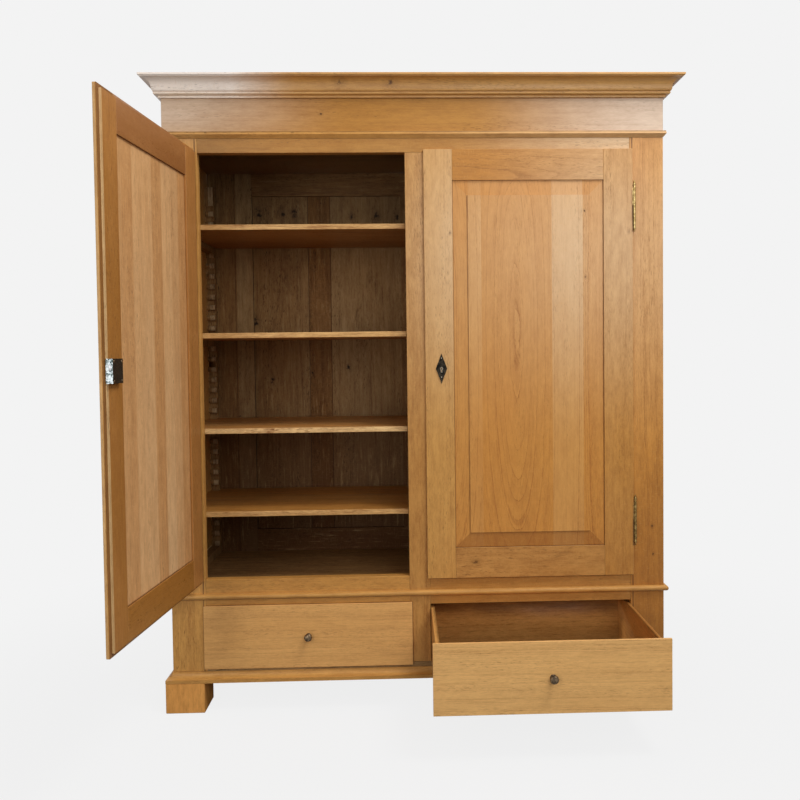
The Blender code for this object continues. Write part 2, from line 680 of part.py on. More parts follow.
def build_door(side, hand, turn):
    door = Frame(hand + "_door_axis", (side * HINGE_X, -HINGE_PROUD, 0.0), BODY, turn)
    window_x = (DOOR_FREE_X + LOCK_STILE, DOOR_HINGE_EDGE - HINGE_STILE)
    window_z = (DOOR_BOTTOM + DOOR_BOTTOM_RAIL, DOOR_TOP - DOOR_TOP_RAIL)
    thick_y = (-DOOR_PROUD, DOOR_INSET)
    height = (DOOR_BOTTOM, DOOR_TOP)

    def member(name, x, z, finish):
        return board(f"{hand}_door_{name}", (side * x[0], side * x[1]), thick_y, z, door, finish)

    hinge_stile = member("hinge_stile", (window_x[1], DOOR_HINGE_EDGE), height, OAK)
    lock_stile = member("lock_stile", (DOOR_FREE_X, window_x[0]), height, OAK)
    top_rail = member("top_rail", window_x, (window_z[1], DOOR_TOP), OAK)
    bottom_rail = member("bottom_rail", window_x, (DOOR_BOTTOM, window_z[0]), OAK)

    clearance = DOOR_CLEARANCE
    block_x = (side * (OPENING_INNER + clearance), side * (OPENING_OUTER - clearance))
    block_z = (WAIST_TOP + clearance, DOOR_HEAD - clearance)
    beyond_x = (side * (DOOR_FREE_X - CUT_OVERRUN), side * (DOOR_HINGE_EDGE + CUT_OVERRUN))
    beyond_z = (DOOR_BOTTOM - CUT_OVERRUN, DOOR_TOP + CUT_OVERRUN)
    lip_loops = [rectangle(beyond_x, beyond_z), rectangle(block_x, block_z)]
    lip = outline(hand + "_door_rebate", lip_loops, "XZ", (-JOINT_GAP, DOOR_INSET + CUT_OVERRUN), door)

    reach = PANEL_GROOVE
    tongue_back = PANEL_TONGUE_FRONT + PANEL_TONGUE
    groove_x = (side * (window_x[0] - reach), side * (window_x[1] + reach))
    groove_z = (window_z[0] - reach, window_z[1] + reach)
    groove_y = (PANEL_TONGUE_FRONT - JOINT_GAP, tongue_back + JOINT_GAP)
    groove = block(hand + "_panel_groove", groove_x, groove_y, groove_z, door)
    for piece in (hinge_stile, lock_stile, top_rail, bottom_rail):
        boolean(piece, lip)
        boolean(piece, groove)

    tongue = reach - JOINT_GAP
    width = window_x[1] - window_x[0] + 2 * tongue
    panel_height = window_z[1] - window_z[0] + 2 * tongue
    bm = cuboid((width, PANEL_TONGUE, panel_height))
    front = min(bm.faces, key=lambda face: face.calc_center_median().y)
    for margin, rise in ((tongue, 0.0), (PANEL_BEVEL, PANEL_RAISE), (PANEL_STEP_WIDTH, PANEL_STEP)):
        bmesh.ops.inset_region(bm, faces=[front], thickness=margin, depth=rise, use_even_offset=True)
    name = hand + "_door_panel"
    centre = (side * sum(window_x) / 2, PANEL_TONGUE_FRONT + PANEL_TONGUE / 2, sum(window_z) / 2)
    add_object(name, mesh_from(bm, name), door, centre, PALE_OAK)

    key_hole = turned(
        hand + "_key_bore",
        [(0.0, DOOR_INSET), (KEY_BORE_RADIUS, DOOR_INSET), (KEY_BORE_RADIUS, -DOOR_INSET), (0.0, -DOOR_INSET)],
        BARREL_STEPS,
        door,
        (side * KEYHOLE_X, -DOOR_PROUD, KEYHOLE_Z),
        None,
        "-Y",
    )
    boolean(lock_stile, key_hole)
    build_hinges(side, hand, door, hinge_stile)
    build_lock(side, hand, door)


def build_hinges(side, hand, door, hinge_stile):
    finial = [(radius, BARREL_HALF + length) for radius, length in FINIAL]
    tip = BARREL_HALF + FINIAL_LENGTH
    shoulder = JOINT_GAP / 2
    post_profile = [(0.0, PIN_LENGTH), (PIN_RADIUS, PIN_LENGTH), (PIN_RADIUS, -shoulder)]
    post_profile += [(BARREL_RADIUS, -shoulder), (BARREL_RADIUS, -BARREL_HALF)]
    post_profile += [(radius, -height) for radius, height in finial]
    post_profile += [(0.0, -tip)]
    bore = PIN_RADIUS + PIN_PLAY
    door_profile = [(0.0, tip)] + list(reversed(finial))
    door_profile += [(BARREL_RADIUS, BARREL_HALF), (BARREL_RADIUS, shoulder)]
    door_profile += [(bore, shoulder), (bore, BORE_LENGTH), (0.0, BORE_LENGTH)]

    half = LEAF_THICK / 2
    barrel_skin = (BARREL_RADIUS + bore) / 2
    leaf_x = (side * (HINGE_X - barrel_skin), side * (HINGE_X - DOOR_LEAF_REACH))
    slot_end = DOOR_LEAF_REACH + JOINT_GAP
    slot_x = (side * (HINGE_X - barrel_skin), side * (HINGE_X - slot_end))
    for level, z in HINGE_HEIGHTS.items():
        axis = (side * HINGE_X, -HINGE_PROUD, z)
        low, high = LEAF_END_MARGIN, BARREL_HALF - LEAF_END_MARGIN

        name = f"{hand}_{level}_hinge_post_half"
        post_half = turned(name, post_profile, BARREL_STEPS, BODY, axis, BRASS)
        post_leaf_x = (side * HINGE_X - half, side * HINGE_X + half)
        post_leaf_y = (-HINGE_PROUD, POST_LEAF_DEPTH)
        boolean(post_half, block(name + "_leaf", post_leaf_x, post_leaf_y, (z - high, z - low), BODY), "UNION")

        name = f"{hand}_{level}_hinge_door_half"
        door_half = turned(name, door_profile, BARREL_STEPS, door, axis, BRASS)
        leaf_y = (-HINGE_PROUD - half, -HINGE_PROUD + half)
        boolean(door_half, block(name + "_leaf", leaf_x, leaf_y, (z + low, z + high), door), "UNION")

        slot_y = (leaf_y[0] - JOINT_GAP, leaf_y[1] + JOINT_GAP)
        slot_z = (z + low - JOINT_GAP, z + high + JOINT_GAP)
        boolean(hinge_stile, block(name + "_slot", slot_x, slot_y, slot_z, door))


def build_lock(side, hand, door):
    edge = OPENING_INNER + DOOR_CLEARANCE - JOINT_GAP
    outer = edge - SELVEDGE_THICK
    z = (LOCK_Z - LOCK_HEIGHT / 2, LOCK_Z + LOCK_HEIGHT / 2)
    back_y = DOOR_INSET + LOCK_PROUD
    plan = [
        (side * outer, SELVEDGE_EDGE_Y),
        (side * edge, SELVEDGE_EDGE_Y),
        (side * edge, DOOR_INSET + JOINT_GAP),
        (side * (edge + LOCK_WIDTH), DOOR_INSET + JOINT_GAP),
        (side * (edge + LOCK_WIDTH), back_y),
        (side * outer, back_y),
    ]
    case = outline(hand + "_lock_case", [plan], "XY", z, door, IRON)
    across, upright = bolt_section(JOINT_GAP)
    nose = outer + BOLT_BACKSET
    tail = nose + BOLT_LENGTH
    channel_x = (side * (outer - CUT_OVERRUN), side * (tail + BOLT_TAIL_ROOM))
    boolean(case, block(hand + "_bolt_channel", channel_x, across, upright, door))
    across, upright = bolt_section(0.0)
    block(hand + "_lock_bolt", (side * nose, side * tail), across, upright, door, STEEL)

    half_width, half_height = ESCUTCHEON_WIDTH / 2, ESCUTCHEON_HEIGHT / 2
    x = side * KEYHOLE_X
    diamond = [
        (x, KEYHOLE_Z - half_height),
        (x + half_width, KEYHOLE_Z),
        (x, KEYHOLE_Z + half_height),
        (x - half_width, KEYHOLE_Z),
    ]
    half_slot = KEYHOLE_SLOT_WIDTH / 2
    first = -math.pi / 2 + math.asin(half_slot / KEYHOLE_RADIUS)
    sweep = 2 * math.pi - 2 * (first + math.pi / 2)
    keyhole = []
    for step in range(2 * CURVE_STEPS + 1):
        turn = first + sweep * step / (2 * CURVE_STEPS)
        keyhole.append((x + KEYHOLE_RADIUS * math.cos(turn), KEYHOLE_Z + KEYHOLE_RADIUS * math.sin(turn)))
    keyhole += [(x - half_slot, KEYHOLE_Z - KEYHOLE_DROP), (x + half_slot, KEYHOLE_Z - KEYHOLE_DROP)]
    front = -DOOR_PROUD - JOINT_GAP
    outline(hand + "_escutcheon", [diamond, keyhole], "XZ", (front - ESCUTCHEON_THICK, front), door, BRONZE)


def build_drawer(side, hand, out):
    drawer = Frame(hand + "_drawer_slide", (0.0, 0.0, 0.0), BODY, 0.0, (0.0, -out, 0.0))
    front_x = (side * (OPENING_INNER - DRAWER_OVERLAY), side * (OPENING_OUTER + DRAWER_OVERLAY))
    front_z = (DRAWER_SILL - DRAWER_OVERLAY, WAIST_BOTTOM + DRAWER_OVERLAY)
    thick_y = (-DRAWER_PROUD, DRAWER_FRONT_INSET)
    front = board(hand + "_drawer_front", front_x, thick_y, front_z, drawer, PALE_OAK)
    clear = DRAWER_CLEARANCE
    inner_x = (OPENING_INNER + clear, OPENING_OUTER - clear)
    block_x = (side * inner_x[0], side * inner_x[1])
    block_z = (DRAWER_SILL + clear, WAIST_BOTTOM - clear)
    loops = [rectangle(front_x, front_z, -CUT_OVERRUN), rectangle(block_x, block_z)]
    lip_y = (-JOINT_GAP, DRAWER_FRONT_INSET + CUT_OVERRUN)
    boolean(front, outline(hand + "_drawer_rebate", loops, "XZ", lip_y, drawer))

    wall = DRAWER_SIDE_THICK
    near = DRAWER_FRONT_INSET + JOINT_GAP / 2
    far = BACK_INNER - DRAWER_BACK_ROOM
    plan = [
        (side * inner_x[0], near),
        (side * (inner_x[0] + wall), near),
        (side * (inner_x[0] + wall), far - wall),
        (side * (inner_x[1] - wall), far - wall),
        (side * (inner_x[1] - wall), near),
        (side * inner_x[1], near),
        (side * inner_x[1], far),
        (side * inner_x[0], far),
    ]
    runner_z = DRAWER_SILL + JOINT_GAP
    box = outline(hand + "_drawer_box", [plan], "XY", (runner_z, DRAWER_SIDE_TOP), drawer, PALE_OAK)
    lap = DRAWER_BOTTOM_LAP
    bottom_x = (side * (inner_x[0] + wall - lap), side * (inner_x[1] - wall + lap))
    bottom_z = (runner_z + DRAWER_BOTTOM_RAISE, runner_z + DRAWER_BOTTOM_RAISE + DRAWER_BOTTOM_THICK)
    bottom = block(hand + "_drawer_bottom", bottom_x, (near, far - wall + lap), bottom_z, drawer)
    boolean(box, bottom, "UNION")
    drop_x = (side * (inner_x[0] + wall), side * (inner_x[1] - wall))
    drop_z = (DRAWER_SIDE_TOP - DRAWER_BACK_DROP, DRAWER_SIDE_TOP + CUT_OVERRUN)
    drop_y = (far - wall - CUT_OVERRUN, far + CUT_OVERRUN)
    boolean(box, block(hand + "_drawer_back_drop", drop_x, drop_y, drop_z, drawer))

    knob_profile = [(0.0, KNOB_LENGTH)] + list(KNOB_PROFILE) + [(0.0, 0.0)]
    knob_point = (sum(front_x) / 2, -DRAWER_PROUD - JOINT_GAP / 2, KNOB_Z)
    turned(hand + "_drawer_knob", knob_profile, KNOB_STEPS, drawer, knob_point, BRONZE, "-Y")


def toothed(edge, into, low, high):
    """One edge of a rack strip from low to high, notched into the strip at every level that fits."""
    points = [(edge, low)]
    count = math.ceil((high - low) / RACK_PITCH) + 1
    first = math.floor((low - LOWEST_SHELF) / RACK_PITCH)
    for step in range(first, first + count + 1):
        top = LOWEST_SHELF + step * RACK_PITCH
        bottom = top - RACK_NOTCH_HEIGHT
        if bottom > low + RACK_NOTCH_HEIGHT / 3 and top < high - RACK_NOTCH_HEIGHT / 3:
            deep = edge + into * RACK_NOTCH_DEPTH
            points += [(edge, bottom), (deep, bottom), (deep, top), (edge, top)]
    points.append((edge, high))
    return points


def build_rack(name, x):
    front, back = SHELF_FRONT, BACK_INNER - SHELF_BACK_ROOM
    near, far = front + RACK_STRIP_WIDTH, back - RACK_STRIP_WIDTH
    low = FLOOR_TOP + JOINT_GAP / 2
    top_shelf = SHELF_LEVELS[-1]
    plain = RACK_TOP - RACK_PLAIN_TOP
    far_side = toothed(far, 1, top_shelf, plain + RACK_NOTCH_HEIGHT / 2)
    near_side = toothed(near, -1, top_shelf, plain + RACK_NOTCH_HEIGHT / 2)
    outer = [(front, low), (back, low), (back, RACK_TOP), (far, RACK_TOP)]
    outer += list(reversed(far_side)) + near_side
    outer += [(near, RACK_TOP), (front, RACK_TOP)]
    loops = [outer]
    for bottom, top in zip([RACK_RAIL_TOP] + SHELF_LEVELS[:-1], SHELF_LEVELS):
        ceiling = top - RACK_NOTCH_HEIGHT
        loops.append(toothed(far, 1, bottom, ceiling) + list(reversed(toothed(near, -1, bottom, ceiling))))
    outline(name, loops, "YZ", x, BODY, SHADED_OAK)


def build_shelves():
    inset = JOINT_GAP / 2
    outer_x = (-SIDE_INNER + inset, -SIDE_INNER + RACK_OUTER_THICK)
    inner_x = (-HALF_PARTITION - RACK_INNER_THICK, -HALF_PARTITION - inset)
    build_rack("shelf_rack_outer", outer_x)
    build_rack("shelf_rack_inner", inner_x)

    room = SHELF_END_ROOM
    left, right = -SIDE_INNER + room, -HALF_PARTITION - room
    notch_left, notch_right = outer_x[1] + room, inner_x[0] - room
    front, back = SHELF_FRONT, BACK_INNER - SHELF_BACK_ROOM
    near, far = front + RACK_STRIP_WIDTH + room, back - RACK_STRIP_WIDTH - room
    plan = [
        (notch_left, front),
        (notch_right, front),
        (notch_right, near),
        (right, near),
        (right, far),
        (notch_right, far),
        (notch_right, back),
        (notch_left, back),
        (notch_left, far),
        (left, far),
        (left, near),
        (notch_left, near),
    ]
    for index, level in enumerate(reversed(SHELF_LEVELS), 1):
        bottom = level + JOINT_GAP
        shelf = outline(f"shelf_{index}", [plan], "XY", (bottom, bottom + SHELF_THICK), BODY, OAK)
        soften(shelf)


def rail_piece(name, play, finish):
    reach = RAIL_SOCKET + (0.0 if play else -RAIL_END_ROOM)
    half = (SIDE_INNER - HALF_PARTITION) / 2 + reach
    radius = RAIL_RADIUS + play
    profile = [(0.0, half), (radius, half), (radius, -half), (0.0, -half)]
    centre = ((SIDE_INNER + HALF_PARTITION) / 2, RAIL_Y, RAIL_Z)
    return turned(name, profile, RAIL_STEPS, BODY, centre, finish, "X")


clear_scene()
PARTS = new_collection("wardrobe")
CUTTERS = new_collection("cutters")
SIDES = ((-1, "left"), (1, "right"))
BODY = Frame("wardrobe_body", (0.0, 0.0, 0.0))
BODY.empty.location.y = BODY_SHIFT
SOCKET = rail_piece("rail_sockets", JOINT_GAP, None)

build_base()
build_carcass()
build_back()
build_crown()
build_door(-1, "left", -LEFT_DOOR_OPEN)
build_door(1, "right", 0.0)
build_drawer(-1, "left", 0.0)
build_drawer(1, "right", RIGHT_DRAWER_OUT)
build_shelves()
rail_piece("hanging_rail", 0.0, OAK)
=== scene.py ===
import json
import math

import bmesh
import bpy
from mathutils import Matrix, Vector


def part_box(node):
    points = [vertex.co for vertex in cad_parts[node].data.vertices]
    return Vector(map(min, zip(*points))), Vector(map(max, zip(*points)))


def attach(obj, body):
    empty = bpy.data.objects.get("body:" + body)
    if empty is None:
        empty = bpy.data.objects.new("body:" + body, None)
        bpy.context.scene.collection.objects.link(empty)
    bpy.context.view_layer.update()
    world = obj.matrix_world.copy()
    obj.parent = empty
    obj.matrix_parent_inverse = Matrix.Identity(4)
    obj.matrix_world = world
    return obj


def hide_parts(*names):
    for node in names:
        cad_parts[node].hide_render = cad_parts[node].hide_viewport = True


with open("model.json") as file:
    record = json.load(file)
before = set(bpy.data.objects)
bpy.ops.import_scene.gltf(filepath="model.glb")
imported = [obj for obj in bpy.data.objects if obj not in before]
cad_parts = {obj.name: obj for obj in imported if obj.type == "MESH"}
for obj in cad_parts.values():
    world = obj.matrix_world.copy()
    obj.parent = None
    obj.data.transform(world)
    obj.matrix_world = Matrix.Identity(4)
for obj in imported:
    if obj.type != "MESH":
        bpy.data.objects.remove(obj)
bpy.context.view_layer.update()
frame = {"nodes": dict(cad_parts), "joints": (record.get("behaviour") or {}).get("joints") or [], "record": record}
scene = bpy.context.scene
nodes = frame["nodes"]
record = frame["record"]
bodyOf = {node: body for body, members in record["behaviour"]["bodies"].items() for node in members}
print("frame loaded:", len(nodes), "nodes")


def tint(red, green, blue):
    # a colour as a screen shows it, 0 to 255, made linear
    shares = [channel / 255 for channel in (red, green, blue)]
    return (*[s / 12.92 if s <= 0.04045 else ((s + 0.055) / 1.055) ** 2.4 for s in shares], 1.0)


def operator(operation):
    return lambda wire, value: wire.math(operation, wire, value)


class Wire:
    # one output socket of a node tree, or the tree alone, with Python's operators on it
    def __init__(self, tree, socket=None):
        self.tree = tree
        self.socket = socket

    def node(self, kind, settings=None, inputs=None, out=0):
        made = self.tree.nodes.new(kind)
        for name, value in (settings or {}).items():
            if name == "stops":
                setStops(made.color_ramp, value)
            else:
                setattr(made, name, value)
        for key, value in (inputs or {}).items():
            if isinstance(value, Wire):
                self.tree.links.new(value.socket, made.inputs[key])
            else:
                made.inputs[key].default_value = value
        return Wire(self.tree, made.outputs[out] if made.outputs else None)

    def other(self, out):
        return Wire(self.tree, self.socket.node.outputs[out])

    def math(self, operation, *values):
        return self.node("ShaderNodeMath", {"operation": operation}, dict(enumerate(values)))

    __add__ = __radd__ = operator("ADD")
    __sub__ = operator("SUBTRACT")
    __mul__ = __rmul__ = operator("MULTIPLY")
    __truediv__ = operator("DIVIDE")
    __pow__ = operator("POWER")
    __gt__ = operator("GREATER_THAN")
    __lt__ = operator("LESS_THAN")

    def __rsub__(self, value):
        return self.math("SUBTRACT", value, self)

    def size(self):
        return self.math("ABSOLUTE", self)

    def smooth(self, low, high, start=0.0, end=1.0):
        ends = {"Value": self, "From Min": low, "From Max": high, "To Min": start, "To Max": end}
        return self.node("ShaderNodeMapRange", {"interpolation_type": "SMOOTHSTEP"}, ends)

    def blend(self, first, second, mode="MIX"):
        # this wire is the share of the second colour
        settings = {"data_type": "RGBA", "blend_type": mode, "clamp_factor": True}
        return self.node("ShaderNodeMix", settings, {0: self, 6: first, 7: second}, out=2)

    def stretched(self, sideways, lengthways):
        factors = (sideways, sideways, lengthways)
        return self.node("ShaderNodeVectorMath", {"operation": "MULTIPLY"}, {0: self, 1: factors})

    def moved(self, by):
        return self.node("ShaderNodeVectorMath", {"operation": "ADD"}, {0: self, 1: by})

    def noise(self, scale=1.0, detail=2.0, roughness=0.5):
        inputs = {"Vector": self, "Scale": scale, "Detail": detail, "Roughness": roughness}
        return self.node("ShaderNodeTexNoise", {}, inputs)

    def noiseAlong(self, scale):
        inputs = {"W": self, "Scale": scale, "Detail": 1.0}
        return self.node("ShaderNodeTexNoise", {"noise_dimensions": "1D"}, inputs)

    def xyz(self):
        first = self.node("ShaderNodeSeparateXYZ", {}, {0: self})
        return first, first.other(1), first.other(2)

    def packed(self, x, y, z):
        return self.node("ShaderNodeCombineXYZ", {}, {0: x, 1: y, 2: z})


def setStops(ramp, stops):
    ramp.interpolation = "CONSTANT"
    while len(ramp.elements) < len(stops):
        ramp.elements.new(1.0)
    for element, (place, colour) in zip(ramp.elements, stops):
        element.position = place
        element.color = colour


def newMaterial(name):
    material = bpy.data.materials.new(name)
    material.use_nodes = True
    material.node_tree.nodes.clear()
    return material, Wire(material.node_tree)


def surface(start, inputs):
    shader = start.node("ShaderNodeBsdfPrincipled", {}, inputs)
    start.node("ShaderNodeOutputMaterial", {}, {"Surface": shader})


# the left door stands open: turning its points back about the hinge gives the shut door's
leftHinge = next(joint for joint in frame["joints"] if joint["name"] == "left_door_hinge")
shutTurn = -math.radians(leftHinge["range_deg"][0])
hingeLine = Vector(leftHinge["pos_m"])
toShut = (
    Matrix.Translation(hingeLine) @ Matrix.Rotation(shutTurn, 4, "Z") @ Matrix.Translation(-hingeLine)
)


def objectPoint(start, leftDoor=False):
    point = start.node("ShaderNodeTexCoord", out="Object")
    if not leftDoor:
        return point
    place = {"Vector": point, "Location": toShut.translation, "Rotation": (0.0, 0.0, shutTurn)}
    return start.node("ShaderNodeMapping", {"vector_type": "POINT"}, place)


oakLook = {
    "axes": "xyz",  # across the board, through it, along its fibres
    "crossed": None,  # (other axes, boxes): where a glued-up piece has boards that run another way
    "mitre": None,  # (half width, front plane) of a moulding that turns the corner
    "leftDoor": False,
    "pale": tint(214, 168, 100),
    "middle": tint(200, 142, 68),
    "brown": tint(136, 84, 36),
    "pore": tint(78, 46, 20),
    # the colour of the painted sheen
    "sheenColour": tint(226, 197, 160),
    "tone": 0.5,  # share of the pale colour
    "sheen": None,  # (right, left): how strongly a painted sheen, the lamps' haze, lies over the upper corners
    "sheenRight": (-0.25, 0.7),  # where the painted sheen on the right starts and is full
    "sheenLeft": (-0.35, -0.75),
    "sheenDrop": 0.5,  # how much weaker the painted sheen on the right is at the top of the doors
    "boards": (),  # (left edge, tone, heart of the rings), then the last right edge
    "seam": 0.0,  # darkness of the joints between boards
    "outside": None,  # (box, middle, pale): the tones of a face that the light has reached
    "worn": (),  # (box, colour, share): another tone inside the box; most of these are painted light and shade
    "bevels": None,  # place and painted shades of the sloped edges below and above a raised field: painted shade at the foot, painted light at the head
    "heightShade": None,  # (share, from, to): painted shade, how much browner it grows between two heights
    "grime": (),  # (axis, plane, reach, darkness, box) of dark bands along a plane: painted shade in gaps, creases, corners and under parts, and dark joints
    "heart": 0.35,  # where the rings' centre lies across the board
    "depth": 0.10,  # how far behind the face it lies
    "lean": 0.02,  # how much its line leans along the board
    "bow": 0.0,  # how much it bows away from the board
    "bowMiddle": 1.2,
    "ring": 0.0065,  # width of a year's growth
    "ragged": 1.3,  # how far the rings' lines are torn
    "figure": 0.14,  # strength of the rings' lines
    "rough": 1.0,  # strength of the fibres' streaks
    "patchy": 0.7,  # strength of the uneven brown patches
    "dash": 0.5,  # strength of the open pores
    "fleck": 0.12,  # strength of the rays' light flecks
    "silver": 0.0,  # strength of the weathered light streaks
    "knots": (),  # (across, along, radius)
    "seed": 0.0,
    "roughness": 0.38,
    "specular": 0.25,
}


def boardFacts(across, boards):
    # each board's tone, ring centre and own number, as the three channels of a stepped ramp
    low, high = boards[0][0], boards[-1][0]
    span = high - low
    stops = []
    for index, (edge, tone, heart) in enumerate(boards[:-1]):
        place = (heart - low + span) / (3 * span)
        stops.append(((edge - low) / span, (tone, place, (index * 0.37) % 1.0, 1.0)))
    ramp = across.node("ShaderNodeValToRGB", {"stops": stops}, {0: (across - low) / span})
    tone = ramp.node("ShaderNodeSeparateColor", {}, {0: ramp})
    return tone, tone.other(1) * (3 * span) + (low - span), tone.other(2)


def within(axis, box):
    inside = 1.0
    for letter, (low, high) in box.items():
        inside = (axis[letter] > low) * (axis[letter] < high) * inside
    return inside


def grainOf(start, look):
    # a point's place across, through and along the board that it is in
    axis = dict(zip("xyz", objectPoint(start, look["leftDoor"]).xyz()))
    grain = start.packed(*[axis[letter] for letter in look["axes"]])
    turned, otherAxes = None, "zxy"
    if look["mitre"]:
        halfWidth, front = look["mitre"]
        turned = (axis["x"].size() - halfWidth) > (front - axis["y"])
    if look["crossed"]:
        otherAxes, boxes = look["crossed"]
        turned = sum(within(axis, box) for box in boxes)
    if turned:
        sideways = start.packed(*[axis[letter] for letter in otherAxes])
        choice = {0: turned, 4: grain, 5: sideways}
        grain = start.node("ShaderNodeMix", {"data_type": "VECTOR"}, choice, out=1)
    return grain, axis


knotShape = {
    "length": 1.5,  # along the fibres, in widths
    "wobble": 3.2,  # how uneven its outline is
    "push": (0.0, 5.0, 2.4, 0.0),  # two distances, and how many years the rings are pushed at each
    "core": (0.0, 0.9, 0.75, 0.0),  # two distances, and the darkness at each
    "halo": (0.4, 2.8, 0.25, 0.0),
}


def knotsIn(across, along, wobble, knots):
    # how far the rings are pushed aside, and how dark the knots are
    push, dark = 0.0, 0.0
    for side, length, radius in knots:
        x = (across - side) / radius
        z = (along - length) / (radius * knotShape["length"])
        apart = (x * x + z * z) ** 0.5 + (wobble - 0.5) * knotShape["wobble"]
        push = push + apart.smooth(*knotShape["push"])
        dark = dark + apart.smooth(*knotShape["core"]) + apart.smooth(*knotShape["halo"])
    return push, dark


def boardColour(tone, cloud, middle, pale):
    if isinstance(tone, Wire):
        return tone.blend(middle, pale)
    mixed = [a + (b - a) * tone for a, b in zip(middle, pale)]
    return cloud.smooth(0.3, 0.75, 0.0, 0.35).blend(mixed, pale)


def shadedBevels(axis, bevels, colour):
    # mitred at the corners, where a point is nearer to the frame beside it
    beside = axis["x"] - bevels["left"]
    beside = beside.math("MINIMUM", beside, bevels["right"] - axis["x"])
    edges = ((axis["z"] - bevels["foot"], bevels["low"]), (bevels["head"] - axis["z"], bevels["high"]))
    for rise, (shade, share) in edges:
        sloped = (rise < bevels["width"]) * (rise < beside)
        colour = (sloped * share).blend(colour, shade)
    return colour


grainNoises = {  # repeats in a metre across and along the fibres, then detail and roughness
    "cloud": (6.0, 1.6, 3.0, 0.5),
    "band": (30.0, 1.8, 3.0, 0.5),
    "patch": (52.0, 16.0, 5.0, 0.7),
    "streak": (150.0, 9.0, 4.0, 0.62),
    "fibre": (620.0, 60.0, 3.0, 0.6),
    "opened": (480.0, 62.0, 1.0, 0.5),
    "gathered": (22.0, 1.6, 2.0, 0.5),
    "ray": (75.0, 260.0, 1.0, 0.5),
    "jag": (34.0, 10.0, 3.0, 0.5),
}
fibreDrift = {"repeats": (7.0, 1.6), "reach": 0.016, "heart": 0.02}
mottleScale = 95.0


def grainNoise(start, shifted):
    # patterns that follow the fibres, which wander a little from the board's line
    wander = (shifted.stretched(*fibreDrift["repeats"]).noise() - 0.5) * fibreDrift["reach"]
    flowing = shifted.moved(start.packed(wander, wander, 0.0))
    made = {"wander": wander, "mottle": shifted.noise(scale=mottleScale, detail=3.0)}
    for name, (across, along, detail, roughness) in grainNoises.items():
        source = shifted if name == "patch" else flowing
        made[name] = source.stretched(across, along).noise(1.0, detail, roughness)
    return made


ringShape = {
    "boardStep": 0.03,  # how much deeper the next board's heart lies, at most
    "torn": 0.3,  # how far the fibres tear the lines, in years
    "uneven": (0.8, 1.6),  # how often the years' width changes, and how far
    "strong": 3.7,  # how often a year's line is stronger
    "line": (0.0, 0.22, 0.7, 0.0),  # two parts of the year, and the darkness at each
    "shade": (0.0, 0.85, 0.4, 0.0),
}


def ringLine(look, place, centre, push, noise):
    # years' rings round a heart line that leans along the board or bows away from it
    across, deep, along = place
    heart, number = centre
    sideways = across - heart + noise["wander"]
    lift = along - look["bowMiddle"]
    behind = deep + look["depth"] + along * look["lean"] + lift * lift * look["bow"]
    behind = behind + (noise["cloud"] - 0.5) * fibreDrift["heart"] + number * ringShape["boardStep"]
    radius = (sideways * sideways + behind * behind) ** 0.5
    years = radius / look["ring"] + push + (noise["jag"] - 0.5) * look["ragged"]
    years = years + (noise["fibre"] - 0.5) * ringShape["torn"]
    often, far = ringShape["uneven"]
    years = years + years.noiseAlong(often) * far
    year = years.math("FRACT", years)
    weight = years.math("FLOOR", years).noiseAlong(ringShape["strong"]).smooth(0.35, 0.65, 0.15, 1.0)
    line = (year.smooth(*ringShape["line"]) + year.smooth(*ringShape["shade"])) * weight
    return line * noise["opened"].smooth(0.3, 0.6, 0.45, 1.1)


# painted sheen: the lamps' haze and reflections on the front's upper corners, painted into the colour
paintedSheen = {
    "rightRise": (0.8, 1.5),  # heights between which the painted sheen on the right sets in
    "rightDrop": (1.52, 1.84),  # heights between which it grows weaker again
    "leftRise": (1.75, 1.92),
    "depth": 0.10,  # how far behind the front plane it ends
    "calm": 0.55,  # how much it softens the grain
    "lowGrain": (0.5, 1.3, 1.2, 1.0),  # two heights, and how strongly the grain shows at each
}


def paintedSheenShare(axis, look, tone):
    # painted sheen: how strongly the lamps' haze is painted over the upper corners of the front
    sheenRight, sheenLeft = look["sheen"]
    right = axis["x"].smooth(*look["sheenRight"]) * axis["z"].smooth(*paintedSheen["rightRise"]) * sheenRight
    right = right * axis["z"].smooth(*paintedSheen["rightDrop"], 1.0, 1.0 - look["sheenDrop"])
    left = axis["x"].smooth(*look["sheenLeft"]) * axis["z"].smooth(*paintedSheen["leftRise"]) * sheenLeft
    near = axis["y"].smooth(frontPlane + paintedSheen["depth"], frontPlane)
    return (right + left) * (tone * 1.2 + 0.4) * near


browning = {"band": 0.32, "streak": 0.16, "fibre": 0.5, "everywhere": 0.07}
lacquer = {"warmth": (1.0, 0.90, 0.76, 1.0), "share": 0.45, "refraction": 1.46}
oakBump = {"Strength": 0.35, "Distance": 0.0006}
seamWidth = (0.0004, 0.0018)  # darkest up to the first, gone at the second
arrisHighlightAndWear = 0.35


